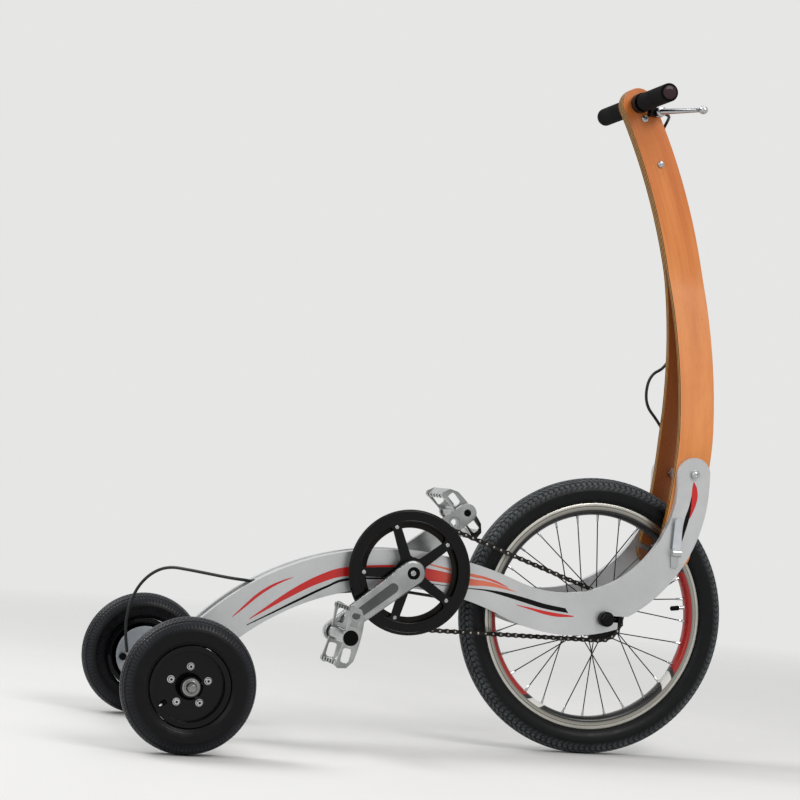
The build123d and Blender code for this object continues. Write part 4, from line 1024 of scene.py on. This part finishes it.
def rear_trim(side, name):
    """Five bolts, a stack of washers with the axle nut, and the valve."""
    body = f"rear_wheel_{name}"
    spots = [polar(rear_x, rear_z, rear_bolt_circle, rear_bolt_turn + 72 * k) for k in range(5)]
    places = [(x, side * (half_track + rear_disc_out), z) for x, z in spots]
    capped(f"rear_bolts_{name}", body, bright, "steel", places, rear_bolt, side, 20)
    hub_face = (rear_x, side * (half_track + rear_hub_out), rear_z)
    nut = Shape()
    for profile, steps in ((rear_washers, 48), (rear_nut, 6), (rear_axle_end, 24)):
        nut.cap(hub_face, profile, side, steps)
    nut.piece(f"rear_nut_{name}", "truck", nut_steel, "steel")
    valve_y = side * (half_track + 9.0)
    tube_valve(f"rear_valve_{name}", body, rear_x, rear_z, 52.0, rear_valve_turn, valve_y, 12.0, 2.4)


for side, name in sides:
    rear_trim(side, name)


# Brake lever and grip plugs

blade_root = Vector((bar_x + 26.0, -38.0, bar_z - 13.0))
blade_tip = Vector((bar_x + 62.0, -140.0, bar_z - 20.0))
lever_pivot = Vector((bar_x + 28.0, -31.0, bar_z - 13.0))

# Blade: share of its run, radius. The last six make the ball at its end.
blade_stages = [
    (-0.02, 3.2), (0.02, 4.6), (0.1, 5.2), (0.3, 4.7), (0.6, 4.1), (0.86, 3.6), (0.92, 3.6), (0.945, 4.8),
    (0.965, 6.0), (1.0, 6.9), (1.035, 6.0), (1.055, 4.4), (1.068, 1.6),
]
bracket_plate = [(0.1, 2.0), (7.4, 2.0), (8.4, 1.2), (8.4, -1.2), (7.4, -2.0), (0.1, -2.0)]
bracket_bolt = [(0.1, 2.4), (2.6, 2.2), (3.8, 1.0), (4.0, 0.0)]
grip_plug = [(0.2, 1.3), (5.0, 1.2), (8.6, 0.8), (10.8, 0.2), (11.6, -0.6)]


def brake_lever():
    """Tapered blade with a ball end, its pivot bracket, and the cable's barrel."""
    run = blade_tip - blade_root
    shares, radii = zip(*blade_stages)
    blade = Shape().tube([blade_root + run * share for share in shares], radii, 20)
    blade.piece("brake_blade_shaped", "handlebar", bright, "alloy", ["brake_blade"], 50.0)
    x, _, z = lever_pivot
    bracket = Shape()
    for y in (-44.0, -33.0):
        bracket.cap((x, y, z), bracket_plate, -1, 28)
    bracket.cap((x, -46.0, z), bracket_bolt, -1, 20)
    barrel = [lever_pivot + Vector(offset) for offset in ((5.0, 12.0, 0.0), (6.0, -4.0, 0.0))]
    bracket.tube(barrel, [4.6, 5.4], 16)
    bracket.piece("brake_bracket", "handlebar", bright, "alloy", (), 40.0)


def grip_plugs():
    """Dished plugs in the grips' outer ends."""
    plugs = Shape()
    for side, _ in sides:
        plugs.cap((bar_x, side * bar_end, bar_z), grip_plug, side)
    plugs.piece("grip_plugs", "handlebar", plug, "foam")


brake_lever()
grip_plugs()


# Stripes printed on the plates

print_lift = 0.16
stripe_rows = 96
stripe_across = 4


def plate_tree(name):
    """A look-up tree of one side plate."""
    mesh = nodes[f"side_plate_{name}"].data
    mesh.calc_loop_triangles()
    faces = [tuple(t.vertices) for t in mesh.loop_triangles]
    return BVHTree.FromPolygons([v.co.copy() for v in mesh.vertices], faces)


plate_trees = {name: plate_tree(name) for _, name in sides}


def stripe(name, finish, upper, lower):
    """A stripe between two smooth lines of (x, z), laid on both plates and straight over a hole."""
    edges = list(zip(smooth_line(upper, stripe_rows), smooth_line(lower, stripe_rows)))
    for side, label in sides:
        grid = []
        level = side * plate_outer_hub
        for a, b in edges:
            line = []
            for k in range(stripe_across + 1):
                x, z = a + (b - a) * k / stripe_across
                start = Vector((x * MM, side * 0.3, z * MM))
                hit = plate_trees[label].ray_cast(start, Vector((0, -side, 0)))[0]
                level = hit.y / MM if hit else level
                line.append((x, level + side * print_lift, z))
            grid.append(line)
        Shape().grid(grid, wrap_u=False).piece(f"{name}_{label}", "frame", finish, "frame_paint")


red = stripe_paint("stripe_red", (196, 20, 14))
red_fade = stripe_paint("stripe_red_fade", (196, 20, 14), (216, 112, 84), (front_x - 290.0, front_x - 205.0))
orange = stripe_paint("stripe_orange", (216, 112, 84), (200, 36, 28), (front_x - 215.0, front_x - 165.0))
ink = stripe_paint("stripe_black", (6, 6, 7), coat=0.1, specular=0.08)

stripes = [
    # name, finish, upper line, lower line, as (x from the front axle, z)
    ("stripe_thin", red,
     [(-596, 188.4), (-578, 208), (-560, 226.0), (-540, 240.4), (-520, 250.2), (-505, 255.4)],
     [(-595.6, 187.4), (-577, 204), (-558, 221.5), (-538.5, 236.4), (-520, 247.4), (-505, 254.8)]),
    ("stripe_main", red_fade,
     [(-569.4, 186.4), (-548.5, 203.4), (-507, 235.4), (-464, 261.4), (-419, 277.4), (-333, 285.9),
      (-278, 282.0), (-221, 272.4), (-199, 270.6), (-178, 266.8), (-148.5, 257.3)],
     [(-569.2, 185.4), (-548.0, 199.0), (-506, 225.2), (-463, 248.4), (-418, 263.0), (-331, 267.9),
      (-277, 263.4), (-220, 261.4), (-199, 262.4), (-178, 261.4), (-148.4, 256.7)]),
    ("stripe_upper", orange,
     [(-290, 291.5), (-221, 280.6), (-200, 277.4), (-179, 271.4), (-161, 263.0)],
     [(-290, 289.5), (-221, 275.6), (-200, 273.2), (-179, 268.2), (-161, 262.2)]),
    ("stripe_black_line", ink,
     [(-572.5, 177.2), (-537.5, 197.4), (-492.4, 223.6), (-452, 245.4), (-417, 259.8), (-331, 265.0),
      (-276, 260.0), (-223, 257.2)],
     [(-572.4, 175.8), (-537.3, 194.7), (-492.0, 219.6), (-451.5, 241.6), (-417, 255.8), (-331, 263.4),
      (-276, 258.8), (-222, 255.9)]),
    ("stripe_black_wave", ink,
     [(-223, 257.2), (-194, 257.0), (-165, 254.5), (-135, 249.0), (-103, 241.8), (-67.5, 236.8)],
     [(-222, 255.9), (-194, 254.4), (-164.6, 248.4), (-134.6, 241.2), (-102, 233.8), (-62, 229.4)]),
    ("stripe_red_wave", red,
     [(-147, 237.0), (-123.5, 233.8), (-102, 230.4), (-80, 228.0), (-52.9, 225.6)],
     [(-146.8, 236.2), (-123.3, 230.4), (-101.5, 225.0), (-79.4, 222.4), (-52.9, 223.8)]),
    ("leaf_red", red,
     [(137.3, 454.5), (143.4, 444.0), (145.6, 430.3), (143.6, 417.0), (139.0, 403.7), (134.9, 394.3)],
     [(137.0, 454.3), (135.4, 444.6), (135.0, 429.3), (134.8, 416.3), (134.4, 403.3), (134.3, 394.2)]),
    ("leaf_black", ink,
     [(135.6, 431.5), (135.9, 410.0), (133.9, 394.4), (130.4, 378.9), (126.9, 365.6), (124.6, 356.7)],
     [(135.2, 431.4), (131.5, 411.5), (126.9, 396.0), (124.3, 380.6), (123.6, 365.4), (124.0, 356.7)]),
]
for name, finish, *lines in stripes:
    stripe(name, finish, *[[(front_x + x, z) for x, z in line] for line in lines])


# Brake cable: one line in four lengths, two held by the bar and the frame, smooth over both joints

cable_r = 2.5
hinge_bend = 46.0
arm_y = 65.0
hub_y = plate_outer_hub + 3.0
drum_y = half_track - 32.0
rear_join = Vector((rear_x + 67.0, 42.0, 248.0))
rear_join_dir = Vector((-0.779, 0.622, 0.082))


def along_join(distance):
    """A point on the rear cable's line through its join."""
    return tuple(rear_join + rear_join_dir * distance)


bar_route = [
    (bar_x + 34.2, -28.0, bar_z - 13.0), (bar_x + 50.0, -26.0, bar_z - 14.0), (bar_x + 56.0, -4.0, bar_z - 19.0),
    (bar_x + 54.0, 16.5, bar_z - 36.0), (bar_x + 58.0, 15.5, bar_z - 90.0), (bar_x + 86.0, 15.5, bar_z - 168.0),
    (bar_x + 114.0, 16.5, bar_z - 264.0), (bar_x + 121.0, 27.5, bar_z - 350.0),
    (pivot_x - 22.0, 38.0, pivot_z + 176.0), (pivot_x - 52.0, 43.0, pivot_z + 160.0),
    (pivot_x - 54.0, 47.5, pivot_z + 112.0), (pivot_x - 26.0, 51.0, pivot_z + 84.0),
    (pivot_x - 4.0, arm_y - 9.0, pivot_z + 54.0), (pivot_x, arm_y + 4.0, pivot_z + 28.0),
]
frame_route = [
    (pivot_x, arm_y + 7.0, pivot_z), (pivot_x + 3.0, arm_y + 2.0, pivot_z - 38.0),
    (pivot_x + 1.0, arm_y + 0.8, pivot_z - 70.0), (pivot_x - 6.0, arm_y + 0.8, pivot_z - 118.0),
    (pivot_x - 17.0, arm_y + 1.5, pivot_z - 160.0), (front_x + 95.0, hub_y - 1.0, front_z + 54.0),
    (front_x + 55.0, hub_y, front_z + 32.0), (front_x, hub_y, front_z + 20.0),
    (front_x - 60.0, hub_y + 0.5, front_z + 12.0), (front_x - 110.0, hub_y, front_z + 8.0),
    (front_x - 170.0, hub_y - 14.5, front_z + 10.0), (front_x - 218.0, hub_y - 25.0, front_z + 8.0),
    (front_x - 262.0, hub_y - 44.0, front_z + 13.0), (crank_x - 10.0, 8.0, crank_z - 32.0),
    (crank_x - 78.0, 1.0, crank_z - 38.0), (crank_x - 130.0, 0.5, crank_z - 44.0),
    (crank_x - 196.0, 0.0, crank_z - 42.0), (crank_x - 240.0, 6.0, crank_z - 32.5), along_join(-42.0),
]
truck_route = [
    along_join(0.0), along_join(36.0), (rear_x + 8.0, 96.0, 253.0), (rear_x - 16.0, 130.0, 236.0),
    (rear_x - 33.0, 158.0, 205.0), (rear_x - 40.0, 178.0, 160.0), (rear_x - 36.0, drum_y - 14.0, 126.0),
    (rear_x - 31.0, drum_y - 9.0, 104.0),
]


def spline_points(route, per_span=10):
    """Points along the smooth spline whose control points are the route."""
    data = bpy.data.curves.new("route", "CURVE")
    data.dimensions = "3D"
    data.resolution_u = per_span
    spline = data.splines.new("NURBS")
    spline.points.add(len(route) - 1)
    for point, at in zip(spline.points, route):
        point.co = (at[0] * MM, at[1] * MM, at[2] * MM, 1.0)
    spline.order_u = 3
    spline.use_endpoint_u = True
    holder = bpy.data.objects.new("route", data)
    bpy.context.scene.collection.objects.link(holder)
    bpy.context.view_layer.update()
    mesh = bpy.data.meshes.new_from_object(holder)
    points = [v.co / MM for v in mesh.vertices]
    bpy.data.objects.remove(holder)
    return points


def cable(name, body, points, replaced=()):
    """One length of the cable, held by a body if one is given."""
    return Shape().tube(points, cable_r, 14).piece(name, body, cover, "cable_black", replaced)


def nearest(line, place):
    """The number of the point of a line that is nearest to a place."""
    return min(range(len(line)), key=lambda i: (line[i] - Vector(place)).length)


def cables():
    """The cable as four tubes: on the bar, along the frame, over the hinge and over to the truck."""
    line = spline_points(bar_route + frame_route + truck_route)
    hinge = nearest(line, frame_route[0])
    join = nearest(line, rear_join)
    before = max(i for i in range(hinge) if line[i].z > pivot_z + hinge_bend)
    after = min(i for i in range(hinge, join) if line[i].z < pivot_z - hinge_bend)
    cable("brake_cable_on_bar", "handlebar", line[: before + 1], ["brake_cable_bar"])
    cable("brake_cable_on_frame", "frame", line[after : join + 1], ["brake_cable_frame"])
    over = cable("brake_cable_at_hinge", None, line[before : after + 1])
    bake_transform(over)
    rear = cable("brake_cable_to_truck", None, line[join:], ["brake_cable_truck"])
    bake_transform(rear)


cables()


# Stage, light and camera. Their places and sizes are in metres.

floor_r = 9.0
floor_fade = (1.0, 3.2)
floor_tones = [(0.3, (0.74, 0.74, 0.735, 1)), (0.7, (0.76, 0.76, 0.755, 1))]
pale_world = (0.86, 0.86, 0.855, 1)
world_as_light = 0.42
world_as_seen = 0.92


def stage():
    """A pale floor that fades into the world's pale tone."""
    bpy.ops.mesh.primitive_circle_add(vertices=96, radius=floor_r, fill_type="NGON")
    floor = bpy.context.object
    floor.name = "floor"
    made = Finish("floor_pale", Roughness=0.9, Specular_IOR_Level=0.1)
    made.colour(made.ramp(made.noise(3.0, 2.0), floor_tones))
    away = made.node("ShaderNodeVectorMath", {0: made.place}, operation="LENGTH").outputs["Value"]
    clear = made.node("ShaderNodeBsdfTransparent").outputs[0]
    shares = {0: made.steps(away, *floor_fade), 1: made.shader.outputs[0], 2: clear}
    both = made.node("ShaderNodeMixShader", shares).outputs[0]
    connect(made.tree, made.tree.nodes["Material Output"].inputs["Surface"], both)
    floor.data.materials.append(made.material)


def world():
    """Pale surroundings, dimmer as light than to the camera and in reflections."""
    made = bpy.data.worlds.new("studio")
    bpy.context.scene.world = made
    made.use_nodes = True
    tree = made.node_tree
    rays = add_node(tree, "ShaderNodeLightPath").outputs
    seen = rays["Is Camera Ray"]
    for kind in ("Is Glossy Ray", "Is Transmission Ray"):
        seen = add_node(tree, "ShaderNodeMath", {0: seen, 1: rays[kind]}, operation="MAXIMUM").outputs[0]
    ends = {"Value": seen, "To Min": world_as_light, "To Max": world_as_seen}
    strength = add_node(tree, "ShaderNodeMapRange", ends).outputs["Result"]
    ground = tree.nodes["Background"].inputs
    connect(tree, ground["Color"], pale_world)
    connect(tree, ground["Strength"], strength)


def turned_lens(name, data, at, turn):
    """A lamp or camera at a place, linked to the scene."""
    made = bpy.data.objects.new(name, data)
    made.matrix_world = Matrix.Translation(at) @ turn.to_4x4()
    bpy.context.scene.collection.objects.link(made)
    return made


def lamp(name, at, aim_z, size, power, colour=(1, 1, 1)):
    """A square area lamp aimed at a height over the origin."""
    data = bpy.data.lights.new(name, "AREA")
    data.shape = "SQUARE"
    data.size = size
    data.energy = power
    data.color = colour
    aim = Vector((0, 0, aim_z)) - Vector(at)
    turned_lens(name, data, at, aim.to_track_quat("-Z", "Y").to_matrix())


# Camera solved from the photograph: place in metres, angles in degrees, focal length in pixels of 800
camera_at = (-0.95618, -3.39177, 0.43451)
camera_yaw = 14.72
camera_pitch = 1.83
camera_roll = 4.59
focal_pixels = 2199.21
image_pixels = 800.0
sensor = 36.0


def camera():
    """The photograph's camera."""
    yaw, pitch, roll = (radians(v) for v in (camera_yaw, camera_pitch, camera_roll))
    ahead = Vector((sin(yaw) * cos(pitch), cos(yaw) * cos(pitch), sin(pitch)))
    level = Vector((cos(yaw), -sin(yaw), 0))
    up = level.cross(ahead)
    right = level * cos(roll) + up * sin(roll)
    above = up * cos(roll) - level * sin(roll)
    data = bpy.data.cameras.new("camera")
    data.sensor_width = sensor
    data.lens = focal_pixels * sensor / image_pixels
    turn = Matrix((right, above, -ahead)).transposed()
    bpy.context.scene.camera = turned_lens("camera", data, camera_at, turn)


stage()
world()
lamp("key", (1.2, -2.8, 2.8), 0.4, 1.6, 60.0, (1.0, 0.98, 0.95))
lamp("fill", (-3.0, -2.0, 1.8), 0.4, 2.4, 20.0)
lamp("edge", (-2.2, 1.0, 2.9), 0.4, 1.6, 62.0)
lamp("top", (0.2, 0.0, 3.4), 0.3, 2.6, 24.0)
camera()
bpy.context.scene.view_settings.view_transform = "Standard"
